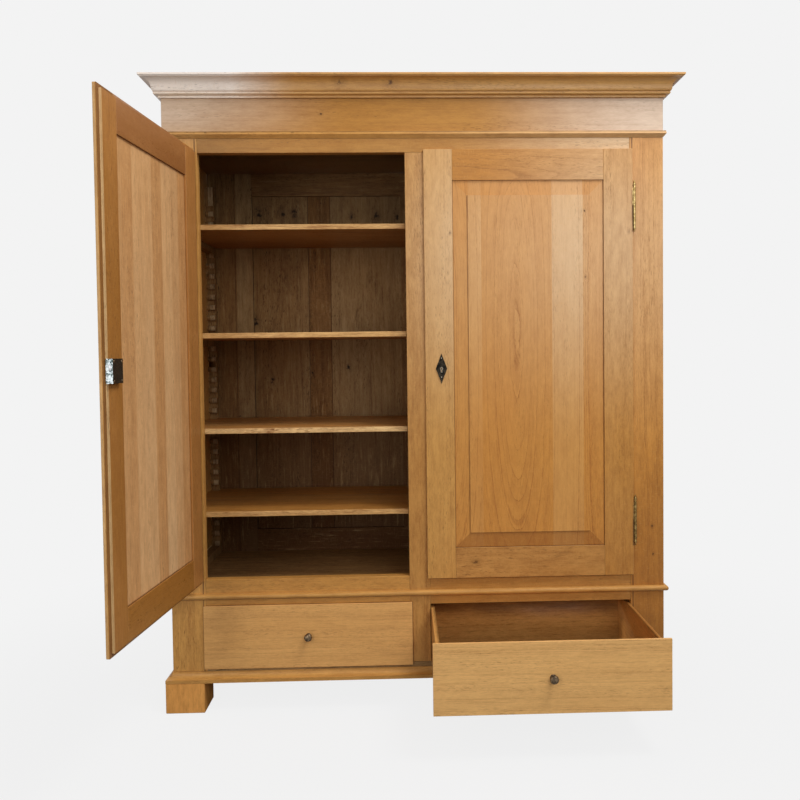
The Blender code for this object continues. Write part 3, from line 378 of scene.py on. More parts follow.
def oak(name, look):
    look = {**oakLook, **look}
    material, start = newMaterial(name)
    grain, axis = grainOf(start, look)
    across, deep, along = grain.xyz()
    shifted = grain.moved((look["seed"] * 0.31, look["seed"] * 0.17, look["seed"]))
    tone, heart, number = look["tone"], look["heart"], 0.0
    if look["boards"]:
        tone, heart, number = boardFacts(across, look["boards"])
        shifted = shifted.moved(start.packed(number * 3.1, number * 1.7, number * 5.3))
    noise = grainNoise(start, shifted)
    cloud, band, patch, streak, fibre, jag = [
        noise[key] for key in ("cloud", "band", "patch", "streak", "fibre", "jag")
    ]
    push, knotDark = knotsIn(across, along, noise["mottle"], look["knots"])
    line = ringLine(look, (across, deep, along), (heart, number), push, noise)
    pores = noise["opened"].smooth(0.59, 0.72) * noise["gathered"].smooth(0.40, 0.66)

    # the board's own colour, with a painted sheen, painted shade by height, other tones in boxes, and painted
    # shade and light on the bevels
    colour = boardColour(tone, cloud, look["middle"], look["pale"])
    if look["outside"]:
        box, middle, pale = look["outside"]
        colour = within(axis, box).blend(colour, boardColour(tone, cloud, middle, pale))
    contrast = 1.5 - tone * 0.5
    # painted sheen, which also softens the grain; the grain shows more lower down
    if look["sheen"]:
        share = paintedSheenShare(axis, look, tone)
        colour = share.blend(colour, look["sheenColour"])
        contrast = (1.0 - share * paintedSheen["calm"]) * axis["z"].smooth(*paintedSheen["lowGrain"]) * contrast
    # painted shade: browner between two heights
    if look["heightShade"]:
        share, clean, full = look["heightShade"]
        colour = axis["z"].smooth(clean, full, 0.0, share).blend(colour, look["brown"])
    for box, boxColour, share in look["worn"]:
        colour = (within(axis, box) * share).blend(colour, boxColour)
    if look["bevels"]:
        colour = shadedBevels(axis, look["bevels"], colour)

    # fibres, patches and rings brown it; rays, bare streaks, pores and knots mark it
    browned = (band - 0.45) * browning["band"] + streak.smooth(0.42, 0.78) * browning["streak"]
    browned = (browned + (fibre - 0.5) * browning["fibre"]) * look["rough"]
    browned = browned + (patch - 0.45) * look["patchy"] + line * look["figure"]
    colour = (browned * contrast + browning["everywhere"]).blend(colour, look["brown"])
    warm = cloud.smooth(0.4, 0.75) * lacquer["share"]
    colour = warm.blend(colour, lacquer["warmth"], "MULTIPLY")
    colour = (noise["ray"].smooth(0.56, 0.74) * look["fleck"]).blend(colour, look["pale"])
    if look["silver"]:
        bare = streak.smooth(0.47, 0.34, 0.0, look["silver"]) * patch.smooth(0.58, 0.42)
        colour = bare.blend(colour, look["pale"])
    specks = noise["mottle"].smooth(0.70, 0.78) * 0.25 * streak.smooth(0.45, 0.7)
    colour = (pores * look["dash"] + specks).blend(colour, look["pore"])
    if look["knots"]:
        colour = knotDark.blend(colour, look["pore"])

    # painted shade darkens gaps, creases and corners, and joints are dark; arrises are painted pale, a painted
    # highlight and wear
    if look["seam"]:
        for edge, _, _ in look["boards"][1:-1]:
            gap = (across - edge).size().smooth(*seamWidth, look["seam"], 0.0)
            colour = gap.blend(colour, look["pore"])
    # painted shade, and some dark joints, as dark bands along planes
    for letter, plane, reach, darkness, box in look["grime"]:
        darkening = (axis[letter] - plane).size().smooth(reach * 0.3, reach, darkness, 0.0) * within(axis, box)
        colour = (darkening * jag.smooth(0.25, 0.6, 0.45, 1.0)).blend(colour, look["pore"])
    # the arrises are painted pale: a painted highlight and wear
    arris = start.node("ShaderNodeAttribute", {"attribute_name": "arris"}, out="Fac")
    colour = (arris * jag.smooth(0.3, 0.6) * arrisHighlightAndWear).blend(colour, look["pale"])

    height = line * -0.2 + pores * -0.9 + fibre * 0.5 + band * 0.6
    bump = start.node("ShaderNodeBump", {}, {**oakBump, "Height": height})
    roughness = look["roughness"] + (cloud - 0.5) * 0.16 + pores * 0.2 + (fibre - 0.5) * 0.2
    surface(start, {
        "Base Color": colour, "Roughness": roughness, "Normal": bump, "IOR": lacquer["refraction"],
        "Specular IOR Level": look["specular"],
    })
    return material


dressing = {"weld": 2e-5, "narrow": 0.0032, "flat": 0.4, "sharp": 50.0}  # two in metres, two in degrees


def weldedCopy(node):
    # the node's loose triangles joined up, with flat areas as single faces
    mesh = bmesh.new()
    mesh.from_mesh(nodes[node].data)
    bmesh.ops.remove_doubles(mesh, verts=mesh.verts, dist=dressing["weld"])
    flat = math.radians(dressing["flat"])
    bmesh.ops.dissolve_limit(mesh, angle_limit=flat, verts=mesh.verts, edges=mesh.edges)
    return mesh


def dress(node, material, sharpAngle=dressing["sharp"], narrow=dressing["narrow"]):
    # a copy of the CAD node with soft arrises, which are marked for a painted highlight and wear
    mesh = weldedCopy(node)
    arris = mesh.faces.layers.float.new("arris")
    for face in mesh.faces:
        width = 2 * face.calc_area() / max(face.calc_perimeter(), 1e-9)
        face[arris] = 1.0 if width < narrow / 2 else 0.0
        face.smooth = True
    data = bpy.data.meshes.new("dressed_" + node)
    mesh.to_mesh(data)
    mesh.free()
    data.materials.append(material)
    data.set_sharp_from_angle(angle=math.radians(sharpAngle))
    piece = bpy.data.objects.new("dressed_" + node, data)
    scene.collection.objects.link(piece)
    weigh = piece.modifiers.new("even arrises", "WEIGHTED_NORMAL")
    weigh.keep_sharp = True
    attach(piece, bodyOf[node])
    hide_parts(node)


def dressAll(*families):
    for family in families:
        for node, own in family["pieces"].items():
            dress(node, oak(node + " oak", {**family["look"], **own}))


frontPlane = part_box("front_post_left")[0].y
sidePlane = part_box("front_post_right")[1].x
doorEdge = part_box("right_door_hinge_stile")[1].x
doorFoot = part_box("right_door_bottom_rail")[0].z

# dark lines along the gaps: painted shade round the left drawer and under the right door's foot, and a darker line
# on the posts beside the doors' edges: reach and darkness
gapLow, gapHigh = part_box("left_drawer_front")
gapHeights, gapWidth = {"z": (gapLow.z, gapHigh.z)}, {"x": (gapLow.x, gapHigh.x)}
gapShade = {"door": (0.003, 0.8), "doorFoot": (0.005, 0.75), "drawer": (0.0035, 0.7)}

# posts and rails of the front, each its own board
postOak = {
    "look": {"axes": "xyz", "sheen": (1.05, 0.3)},
    "pieces": {
        "front_post_left": {
            "tone": 0.2, "heart": -0.45, "seed": 1.3, "sheen": (0.0, 0.9), "sheenColour": tint(186, 146, 112),
            "grime": (
                ("x", -doorEdge, *gapShade["door"], {}),
                ("x", gapLow.x, *gapShade["drawer"], gapHeights),
            ),
        },
        "front_post_right": {
            "tone": 0.0, "middle": tint(202, 137, 60), "heart": 0.42, "seed": 4.1, "dash": 0.3, "rough": 0.9,
            "patchy": 0.7, "figure": 0.16, "ring": 0.009, "heightShade": (0.45, 0.95, 0.45),
            "grime": (("x", doorEdge, *gapShade["door"], {}),),
            "knots": ((0.7616, 0.5744, 0.003), (0.7647, 0.482, 0.003)),
        },
        "centre_post": {
            "tone": 0.2, "middle": tint(180, 124, 58), "sheen": (2.3, 0.0), "heart": 0.3, "seed": 7.7,
            "patchy": 1.0, "grime": (("x", gapHigh.x, *gapShade["drawer"], gapHeights),),
        },
    },
}
railOak = {
    "look": {"axes": "zyx", "sheenDrop": 0.0},
    "pieces": {
        "top_rail": {
            "tone": 0.1, "middle": tint(172, 120, 56), "sheen": (1.6, 0.0), "sheenRight": (0.1, 0.78),
            # painted shade of the open left door darkens the left end, with a grey pore colour
            "heart": 1.5, "seed": 2.2, "pore": tint(84, 66, 56),
            "grime": (("x", -sidePlane, 0.45, 0.22, {}),),
        },
        "waist_rail": {
            "tone": 0.1, "heart": 0.05, "seed": 5.9, "dash": 0.35, "rough": 0.8,
            # painted shade in the gap above the left drawer and under the right door's foot
            "grime": (
                ("z", gapHigh.z, *gapShade["drawer"], gapWidth),
                ("z", doorFoot, *gapShade["doorFoot"], {"x": (0.0, doorEdge)}),
            ),
            # the right half is darker: painted shade under the right door
            "worn": (({"x": (0.0, 1.0)}, tint(150, 98, 46), 0.4),),
        },
    },
}
sideBoards = ((0.09, 0.4, 0.35), (0.24, 0.6, 0.02), (0.37, 0.3, 0.43), (0.52, 0.5, 0.8), (0.62, 0.5, 0.5))
sideRails = [{"y": (0.194, 0.522), "z": heights} for heights in ((0.05, 0.155), (0.30, 0.52), (1.74, 1.85))]
# a pale strip along the foot of the left side's inner face
sideInside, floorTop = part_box("side_left")[1].x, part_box("floor_board")[1].z
paleFootStrip = {"x": (sideInside - 0.002, 0.0), "z": (floorTop, floorTop + 0.036)}
sideOak = {
    "look": {"axes": "yxz", "boards": sideBoards, "bow": 0.1, "figure": 0.3, "crossed": ("zxy", sideRails)},
    "pieces": {
        "side_left": {"depth": 0.82, "seed": 3.3, "worn": ((paleFootStrip, tint(255, 226, 180), 1.0),)},
        "side_right": {"depth": -0.78, "seed": 8.8},
    },
}
dressAll(postOak, railOak, sideOak)
print("carcass front and sides dressed")

# mouldings run round the front and both sides; the top board's underside is the dark ceiling inside
ceilingTop = sum(corner.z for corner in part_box("top_board")) / 2
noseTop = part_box("frieze")[0].z
ceilingFront = frontPlane + 0.03
ceiling = {"y": (ceilingFront, 1.0), "z": (1.0, ceilingTop)}
topNose = {"y": (-1.0, frontPlane + 0.01)}
mouldingOak = {
    "look": {"axes": "zyx", "mitre": (sidePlane, frontPlane), "sheenDrop": 0.0},
    "pieces": {
        # the cornice's left end and the frieze's ends carry a painted sheen, the lamps' reflections; the cornice's
        # is nearly white
        "cornice": {
            "tone": 0.5, "sheen": (0.0, 1.7), "sheenColour": tint(255, 242, 230), "specular": 0.5, "heart": 2.2,
            "seed": 1.9, "knots": ((2.0047, -0.2352, 0.008), (2.0015, -0.0728, 0.008)),
        },
        "frieze": {
            "tone": 0.1, "middle": tint(176, 121, 49), "pale": tint(204, 154, 82), "heart": 1.6, "seed": 6.4,
            "sheen": (1.65, 1.5), "sheenRight": (0.15, 0.8), "sheenLeft": (-0.2, -0.85),
            "sheenColour": tint(222, 202, 182), "fleck": 0.0, "rough": 0.8, "knots": ((1.9108, -0.2969, 0.003),),
        },
        "top_board": {
            "tone": 0.2, "sheen": (0.5, 0.3), "heart": 1.7, "seed": 2.7, "pore": tint(40, 25, 12),
            # painted shade inside: the ceiling gets a darker grey tone and a painted shadow of the top rail near
            # its front; the line on the top of the nose is a dark joint
            "grime": (("y", ceilingFront, 0.42, 0.85, ceiling), ("z", noseTop, 0.006, 0.5, topNose)),
            "worn": ((ceiling, tint(122, 98, 64), 0.8),),
        },
        "belt_moulding": {"tone": 0.3, "heart": 0.2, "seed": 9.1},
        "base_moulding": {"tone": 0.25, "heart": 0.3, "seed": 4.6},
    },
}
# the left front foot is darker on its inner side
footShade = (("x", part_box("foot_front_left")[1].x, 0.002, 0.25, {}),)
footOak = {
    "look": {
        "axes": "xyz", "middle": tint(232, 158, 76), "pale": tint(236, 174, 102), "depth": 0.05,
        "specular": 0.0, "rough": 0.6, "dash": 0.2,
    },
    "pieces": {
        "foot_front_left": {"heart": -0.6, "seed": 0.4, "grime": footShade},
        "foot_front_right": {"heart": 0.6, "seed": 1.1},
        "foot_back_left": {"heart": -0.9, "seed": 2.3},
        "foot_back_right": {"heart": 0.9, "seed": 3.6},
    },
}
dressAll(mouldingOak, footOak)
print("mouldings and feet dressed")

# painted shade on the edge of the right door, beside its hinges
hingeHeights = [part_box(f"right_{level}_hinge_post_half") for level in ("upper", "lower")]
hingeShade = [("x", doorEdge, 0.0045, 0.95, {"z": (low.z, high.z)}) for low, high in hingeHeights]

# bevels of the panels, painted darker at the foot and lighter at the head: painted shade and light, as the sloped
# faces meet the light differently
panelEdge = {
    "groove": 0.010, "bevel": 0.047, "shadeReach": 0.0026, "frameShade": 0.6, "fieldShade": (0.6, 0.5),
}
panelLow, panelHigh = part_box("right_door_panel")
groove = panelEdge["groove"]
panelBevels = {
    "left": panelLow.x + groove, "right": panelHigh.x - groove,
    "foot": panelLow.z + groove, "head": panelHigh.z - groove,
    "width": panelEdge["bevel"], "low": (tint(136, 84, 36), 0.5), "high": (tint(206, 138, 62), 0.35),
}


def panelCreaseShade(mirror, raised):
    # painted shade in the creases of a panel: round the frame, and at the left side and the foot of the raised
    # field on the outside
    reach, frameShade, width = panelEdge["shadeReach"], panelEdge["frameShade"], panelEdge["bevel"]
    darkening = [("x", mirror * panelBevels[edge], reach, frameShade, {}) for edge in ("left", "right")]
    darkening.append(("z", panelBevels["foot"], reach, frameShade, {}))
    if raised:
        left, right = panelBevels["left"] + width, panelBevels["right"] - width
        foot, head = panelBevels["foot"] + width, panelBevels["head"] - width
        darkening.append(("x", left, reach, panelEdge["fieldShade"][0], {"z": (foot, head)}))
        darkening.append(("z", foot, reach, panelEdge["fieldShade"][1], {"x": (left, right)}))
    return darkening


rightPanelBoards = (
    (0.1078, 0.35, 0.10), (0.1665, 0.6, 0.10), (0.208, 0.25, 0.318), (0.434, 0.8, 0.20), (0.535, 0.25, 0.75),
    (0.6133, 0.5, 0.5),
)
leftPanelBoards = (
    (-0.6133, 0.3, -0.9), (-0.545, 0.6, -0.2), (-0.485, 0.85, -0.3), (-0.415, 0.35, -0.8),
    (-0.345, 0.75, 0.0), (-0.215, 0.4, -0.5), (-0.15, 0.45, -0.4), (-0.1078, 0.5, 0.0),
)
rightDoorOak = {
    "look": {"sheen": (0.8, 0.0), "rough": 0.7, "dash": 0.4},
    "pieces": {
        "right_door_hinge_stile": {
            "tone": 0.2, "middle": tint(190, 128, 52), "heart": 0.95, "seed": 1.7, "patchy": 0.9,
            "grime": hingeShade, "heightShade": (0.2, 0.95, 0.5), "knots": ((0.686, 1.5335, 0.003),),
        },
        "right_door_lock_stile": {
            "tone": 0.4, "middle": tint(198, 140, 62), "pale": tint(210, 164, 98), "sheen": (2.2, 0.0),
            "heart": -0.3, "seed": 5.2, "knots": ((0.1091, 1.5309, 0.003),),
        },
        "right_door_top_rail": {
            "axes": "zyx", "tone": 0.1, "middle": tint(184, 121, 46), "sheen": (1.5, 0.0),
            "sheenRight": (0.18, 0.72), "heart": 1.715, "depth": -0.03, "lean": 0.05, "figure": 0.3,
            "seed": 2.9,
        },
        "right_door_bottom_rail": {
            "axes": "zyx", "tone": 0.15, "middle": tint(186, 130, 66), "heart": 0.8, "seed": 7.1, "dash": 0.6,
            "patchy": 0.9, "knots": ((0.4695, 0.1824, 0.007),),
        },
        "right_door_panel": {
            "boards": rightPanelBoards, "middle": tint(200, 136, 58), "pale": tint(211, 157, 88),
            "brown": tint(142, 82, 36), "sheen": (0.58, 0.0), "depth": -0.05, "lean": 0.0, "bow": 0.13,
            "ring": 0.0048, "ragged": 1.0, "figure": 0.32, "rough": 0.5, "patchy": 0.5, "dash": 0.2,
            "grime": panelCreaseShade(1, True), "bevels": panelBevels,
            "knots": ((0.5414, 1.5989, 0.003), (0.5436, 1.3875, 0.003)),
        },
    },
}
# painted light: the left door's free edge is painted pale on its lip and on the arris behind the rebate, faces
# that meet the light
freeEdge = {"overlay": 0.008, "clearance": 0.003, "litWidth": 0.0012, "litColour": tint(244, 206, 150)}
lipEnd = -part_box("right_door_lock_stile")[0].x
blockEnd = lipEnd - freeEdge["overlay"] - freeEdge["clearance"]
lip = {"x": (lipEnd - freeEdge["litWidth"], 0.0), "y": (0.0, frontPlane - 0.003)}
arrisBehind = {"x": (blockEnd - freeEdge["litWidth"], blockEnd + freeEdge["litWidth"]), "y": (frontPlane + 0.0015, 1.0)}
paintedEdgeLight = ((lip, freeEdge["litColour"], 0.5), (arrisBehind, freeEdge["litColour"], 0.65))
doorFront = {"y": (-1.0, frontPlane - 0.001)}
leftDoorOak = {
    "look": {
        "leftDoor": True, "middle": tint(174, 116, 56), "pale": tint(206, 152, 94), "rough": 0.8,
        "outside": (doorFront, tint(194, 134, 60), tint(212, 164, 98)),
    },
    "pieces": {
        "left_door_hinge_stile": {"tone": 0.1, "heart": -0.95, "seed": 3.8},
        "left_door_lock_stile": {
            "tone": 0.15, "middle": tint(158, 104, 41), "heart": 0.3, "seed": 6.6, "worn": paintedEdgeLight,
            # painted shade in the rebate's corner
            "grime": (("y", frontPlane, 0.0016, 0.5, {}),),
        },
        "left_door_top_rail": {
            "axes": "zyx", "tone": 0.0, "middle": tint(150, 98, 54), "heart": 1.9, "seed": 9.4,
        },
        "left_door_bottom_rail": {
            "axes": "zyx", "tone": 0.1, "middle": tint(166, 110, 42), "heart": 0.7, "seed": 0.8,
        },
        "left_door_panel": {
            "boards": leftPanelBoards, "middle": tint(206, 146, 85), "pale": tint(242, 200, 148), "seed": 4.4,
            "heightShade": (0.17, 0.6, 1.3), "outside": (doorFront, tint(204, 138, 58), tint(216, 160, 88)),
            "grime": panelCreaseShade(-1, False),
        },
    },
}
drawerOak = {
    "look": {
        "axes": "zyx", "middle": tint(226, 164, 90), "pale": tint(238, 190, 124), "pore": tint(116, 70, 28),
        "dash": 0.36, "rough": 0.8, "patchy": 0.25,
    },
    "pieces": {
        "left_drawer_front": {
            "tone": 0.35, "heart": 0.1, "depth": -0.03, "figure": 0.2, "seed": 1.5,
            # painted shadow of the open left door on the drawer front's left end
            "grime": (("x", gapLow.x, 0.16, 0.22, {}),),
        },
        "right_drawer_front": {
            "tone": 0.5, "middle": tint(234, 174, 98), "pale": tint(244, 198, 132), "heart": 0.05,
            "depth": 0.36, "figure": 0.2, "seed": 5.5,
        },
    },
}
# the back runs across between the sides of a drawer box
boxBoards = {"side": 0.0135, "back": 0.03}
boxOak = {
    "look": {
        "axes": "zxy", "tone": 0.1, "heart": 0.6, "middle": tint(210, 152, 82), "pore": tint(40, 24, 10),
        "patchy": 0.6, "dash": 0.3, "rough": 1.4,
    },
    "pieces": {},
}
for hand, seed in (("left", 2.5), ("right", 8.5)):
    low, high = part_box(hand + "_drawer_box")
    between = (low.x + boxBoards["side"], high.x - boxBoards["side"])
    # a darker tone on the box's right side and back, and a painted shadow of the waist rail at the top of its back
    rightSide = {"x": (between[1] - 0.001, 1.0)}
    boxBack = {"x": between, "y": (high.y - boxBoards["back"], 1.0)}
    boxOak["pieces"][hand + "_drawer_box"] = {
        "crossed": ("zyx", [{"x": between}]), "seed": seed,
        "worn": ((rightSide, tint(150, 92, 38), 0.5), (boxBack, tint(150, 96, 46), 0.25)),
        "grime": (("z", high.z, 0.08, 0.6, boxBack),),
    }
dressAll(rightDoorOak, leftDoorOak, drawerOak, boxOak)
print("doors and drawers dressed")

backRails = [{"x": (-0.611, 0.611), "z": heights} for heights in ((1.7495, 1.9), (0.0, 0.479))]
frameBoards = (
    (-0.79, 0.15, -0.5), (-0.678, 0.75, -0.5), (-0.611, 0.15, 0.0), (0.611, 0.7, 0.9), (0.678, 0.15, 0.9),
    (0.79, 0.0, 0.0),
)
leftBackBoards = ((-0.625, 0.4, -0.5), (-0.402, 0.0, -0.36), (-0.318, 0.6, -0.2), (-0.0391, 0.4, 0.0))
leftBackKnots = (
    (-0.5899, 1.6865, 0.013), (-0.4974, 1.6859, 0.010), (-0.4521, 1.6857, 0.012), (-0.2343, 1.6731, 0.007),
    (-0.1412, 1.6725, 0.012), (-0.0612, 1.6682, 0.009), (-0.605, 1.2739, 0.012), (-0.5464, 1.052, 0.009),
    (-0.2522, 1.0982, 0.010), (-0.3938, 1.0769, 0.006),
)
rightBackBoards = (
    (0.0391, 0.4, 0.2), (0.21, 0.2, 0.5), (0.37, 0.55, 0.3), (0.52, 0.35, 0.9), (0.63, 0.5, 0.6),
)
rightBackKnots = ((0.30, 1.2, 0.010), (0.58, 0.8, 0.008))
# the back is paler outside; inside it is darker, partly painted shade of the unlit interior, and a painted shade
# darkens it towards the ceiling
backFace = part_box("back_frame")[1].y - 0.003
backOutside = ({"y": (backFace, 1.0)}, tint(176, 134, 84), tint(204, 170, 124))
ceilingShade = (("z", ceilingTop, 0.4, 0.25, {"y": (0.0, backFace)}),)
# painted light: the teeth of the left compartment's rear strip are painted pale where light falls on their ends
rackLow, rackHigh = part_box("shelf_rack_outer")
rackMiddle = (rackLow.x + rackHigh.x) / 2 - 0.003
rackTips = rackHigh.y - 0.040
litTeeth = {"x": (rackMiddle, 0.0), "y": (rackTips - 0.0015, rackTips + 0.0015)}
# the inside boards' darker tones are partly their own and partly painted shade of the unlit interior
insideOak = {
    "look": {
        "pale": tint(184, 154, 108), "middle": tint(146, 106, 60), "brown": tint(86, 51, 24),
        "pore": tint(40, 26, 16), "specular": 0.15, "roughness": 0.6, "figure": 0.25, "dash": 0.9,
        "rough": 1.6, "silver": 0.4,
    },
    "pieces": {
        "back_frame": {
            "boards": frameBoards, "seam": 0.6, "crossed": ("zyx", backRails), "heart": -0.4, "seed": 0.6,
            "heightShade": (0.8, 1.3, 0.5), "outside": backOutside, "grime": ceilingShade,
        },
        "back_panel_left": {
            "boards": leftBackBoards, "seam": 0.8, "knots": leftBackKnots, "depth": -0.55,
            "heightShade": (0.75, 1.2, 0.5), "outside": backOutside, "grime": ceilingShade,
        },
        "back_panel_right": {
            "boards": rightBackBoards, "seam": 0.8, "knots": rightBackKnots, "depth": -0.55,
            "outside": backOutside,
        },
        "partition": {"axes": "yxz", "tone": 0.25, "heart": 0.9, "seed": 2.1},
        "floor_board": {
            "axes": "yzx", "tone": 0.2, "middle": tint(160, 112, 58), "heart": 0.3, "depth": -0.3,
            "seed": 3.1,
        },
        "base_board": {"axes": "yzx", "tone": 0.4, "heart": 0.35, "depth": -0.1, "seed": 4.9},
        "drawer_divider": {"axes": "zxy", "tone": 0.4, "heart": 0.5, "seed": 6.2},
        "shelf_rack_outer": {
            "tone": 0.1, "heart": -0.5, "seed": 7.3, "worn": ((litTeeth, tint(206, 180, 140), 0.8),),
        },
        "shelf_rack_inner": {"tone": 0.3, "heart": 0.3, "seed": 8.1},
    },
}
# the shelves' front edges are paler
shelfLip = {"y": (0.0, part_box("shelf_1")[0].y + 0.003)}
shelfBoards = ((0.1, 0.2, 0.3), (0.235, 0.4, 0.6), (0.40, 0.1, 0.45), (0.6, 0.5, 0.5))
shelfOak = {
    "look": {
        "axes": "yzx", "boards": shelfBoards, "depth": -0.9, "middle": tint(188, 128, 62),
        "pale": tint(222, 176, 116), "worn": ((shelfLip, tint(224, 182, 120), 0.85),), "rough": 2.0,
        "patchy": 1.0, "figure": 0.3, "seam": 0.5,
    },
    "pieces": {
        "shelf_1": {"middle": tint(158, 106, 48), "pale": tint(190, 146, 92), "seed": 1.2},
        "shelf_2": {"seed": 2.4},
        "shelf_3": {"seed": 3.9, "worn": ((shelfLip, tint(242, 206, 146), 0.9),)},
        "shelf_4": {"middle": tint(180, 120, 50), "pale": tint(212, 164, 98), "seed": 5.1},
        "hanging_rail": {"boards": (), "seam": 0.0, "tone": 0.5, "heart": 0.5, "depth": -1.6, "worn": ()},
    },
}
dressAll(insideOak, shelfOak)
print("inside dressed")


metalBump = {"Strength": 0.25, "Distance": 0.0003}
metalLook = {"wear": 0.4, "patchScale": 110.0, "grainScale": 900.0}


def mottledMetal(name, look):
    # worn metal: dark and dull in patches, bright on the arrises
    look = {**metalLook, **look}
    material, start = newMaterial(name)
    point = objectPoint(start)
    patches = point.noise(scale=look["patchScale"], detail=4.0)
    grains = point.noise(scale=look["grainScale"], detail=2.0)
    arris = start.node("ShaderNodeAttribute", {"attribute_name": "arris"}, out="Fac")
    dull = patches.smooth(0.35, 0.65)
    colour = dull.blend(look["bright"], look["dark"])
    colour = (arris * look["wear"]).blend(colour, look["bright"])
    bump = start.node("ShaderNodeBump", {}, {**metalBump, "Height": grains})
    surface(start, {
        "Base Color": colour, "Metallic": 1.0, "Normal": bump,
        "Roughness": look["roughness"] + dull * 0.2 + (grains - 0.5) * 0.15,
    })
    return material


def lockMetal(name, look, leftDoor):
    # dark iron case with a galvanised end plate, which is the part nearest the door's edge
    material, start = newMaterial(name)
    point = objectPoint(start, leftDoor)
    x = point.xyz()[0].size()
    plate = x < look["plateEnd"]
    cells = {"Vector": point, "Scale": look["spangleScale"]}
    flowers = point.node("ShaderNodeTexVoronoi", {}, cells, out="Color")
    spangle = flowers.node("ShaderNodeSeparateColor", {}, {0: flowers})
    patches = point.noise(scale=look["patchScale"], detail=4.0)
    specks = point.noise(scale=look["speckScale"], detail=2.0)
    iron = patches.smooth(0.35, 0.7).blend(look["iron"], look["rust"])
    iron = specks.smooth(0.52, 0.68, 0.0, 0.6).blend(iron, look["speck"])
    zinc = (spangle * 0.5 + patches * 0.7).smooth(0.45, 0.8).blend(look["zincDark"], look["zinc"])
    bump = start.node("ShaderNodeBump", {}, {**metalBump, "Strength": look["bump"], "Height": patches})
    surface(start, {
        "Base Color": plate.blend(iron, zinc), "Metallic": 0.85 + plate * 0.1, "Normal": bump,
        "Roughness": 0.5 - plate * 0.15 + (spangle - 0.5) * 0.15,
    })
    return material


bronzeLook = {"wear": 0.5, "patchScale": 70.0, "grainScale": 700.0}
hardware = {
    "brass": {"bright": tint(190, 166, 112), "dark": tint(148, 122, 74), "roughness": 0.34},
    "shadedBrass": {"bright": tint(150, 126, 78), "dark": tint(104, 82, 46), "roughness": 0.38},
    "knobBronze": {**bronzeLook, "bright": tint(132, 112, 88), "dark": tint(66, 55, 44), "roughness": 0.3},
    "bronze": {**bronzeLook, "bright": tint(54, 48, 40), "dark": tint(26, 24, 21), "roughness": 0.38},
    "rubbedBronze": {
        "bright": tint(196, 188, 170), "dark": tint(110, 100, 84), "wear": 0.0, "patchScale": 300.0,
        "roughness": 0.3,
    },
    "steel": {
        "bright": tint(196, 196, 198), "dark": tint(140, 140, 142), "patchScale": 150.0, "roughness": 0.32,
    },
    "lock": {
        "plateEnd": 0.0364, "iron": tint(50, 46, 38), "rust": tint(72, 58, 44), "speck": tint(120, 114, 102),
        "zinc": tint(196, 204, 206), "zincDark": tint(70, 82, 80), "bump": 0.3, "spangleScale": 210.0,
        "patchScale": 160.0, "speckScale": 620.0,
    },
}
# the lower hinges get a darker copy of the brass: painted shade
brass = {
    "upper": mottledMetal("aged brass", hardware["brass"]),
    "lower": mottledMetal("shaded brass", hardware["shadedBrass"]),
}
bronze = mottledMetal("dark bronze", hardware["bronze"])
knobBronze = mottledMetal("handled bronze", hardware["knobBronze"])
steel = mottledMetal("bolt steel", hardware["steel"])
for hand in ("left", "right"):
    for level in ("upper", "lower"):
        for half in ("post_half", "door_half"):
            dress(f"{hand}_{level}_hinge_{half}", brass[level], narrow=0.0008)
    dress(hand + "_drawer_knob", knobBronze, narrow=0.0002)
    dress(hand + "_escutcheon", bronze, sharpAngle=35.0, narrow=0.0024)
    dress(hand + "_lock_bolt", steel, sharpAngle=30.0)
    lockIron = lockMetal(hand + " lock iron", hardware["lock"], hand == "left")
    dress(hand + "_lock_case", lockIron, sharpAngle=30.0)
print("hardware dressed")


def fittingTree(name, inputs):
    # an empty tree of geometry nodes with its named inputs
    tree = bpy.data.node_groups.new(name, "GeometryNodeTree")
    for label, kind in {"Geometry": "Geometry", **inputs}.items():
        tree.interface.new_socket(label, in_out="INPUT", socket_type="NodeSocket" + kind)
    tree.interface.new_socket("Geometry", in_out="OUTPUT", socket_type="NodeSocketGeometry")
    start = Wire(tree)
    return start, start.node("NodeGroupInput")


def endTree(start, mesh, metal):
    realised = start.node("GeometryNodeRealizeInstances", {}, {0: mesh})
    shaded = start.node("GeometryNodeSetMaterial", {}, {"Geometry": realised, "Material": metal})
    start.node("NodeGroupOutput", {}, {"Geometry": shaded})
    return start.tree


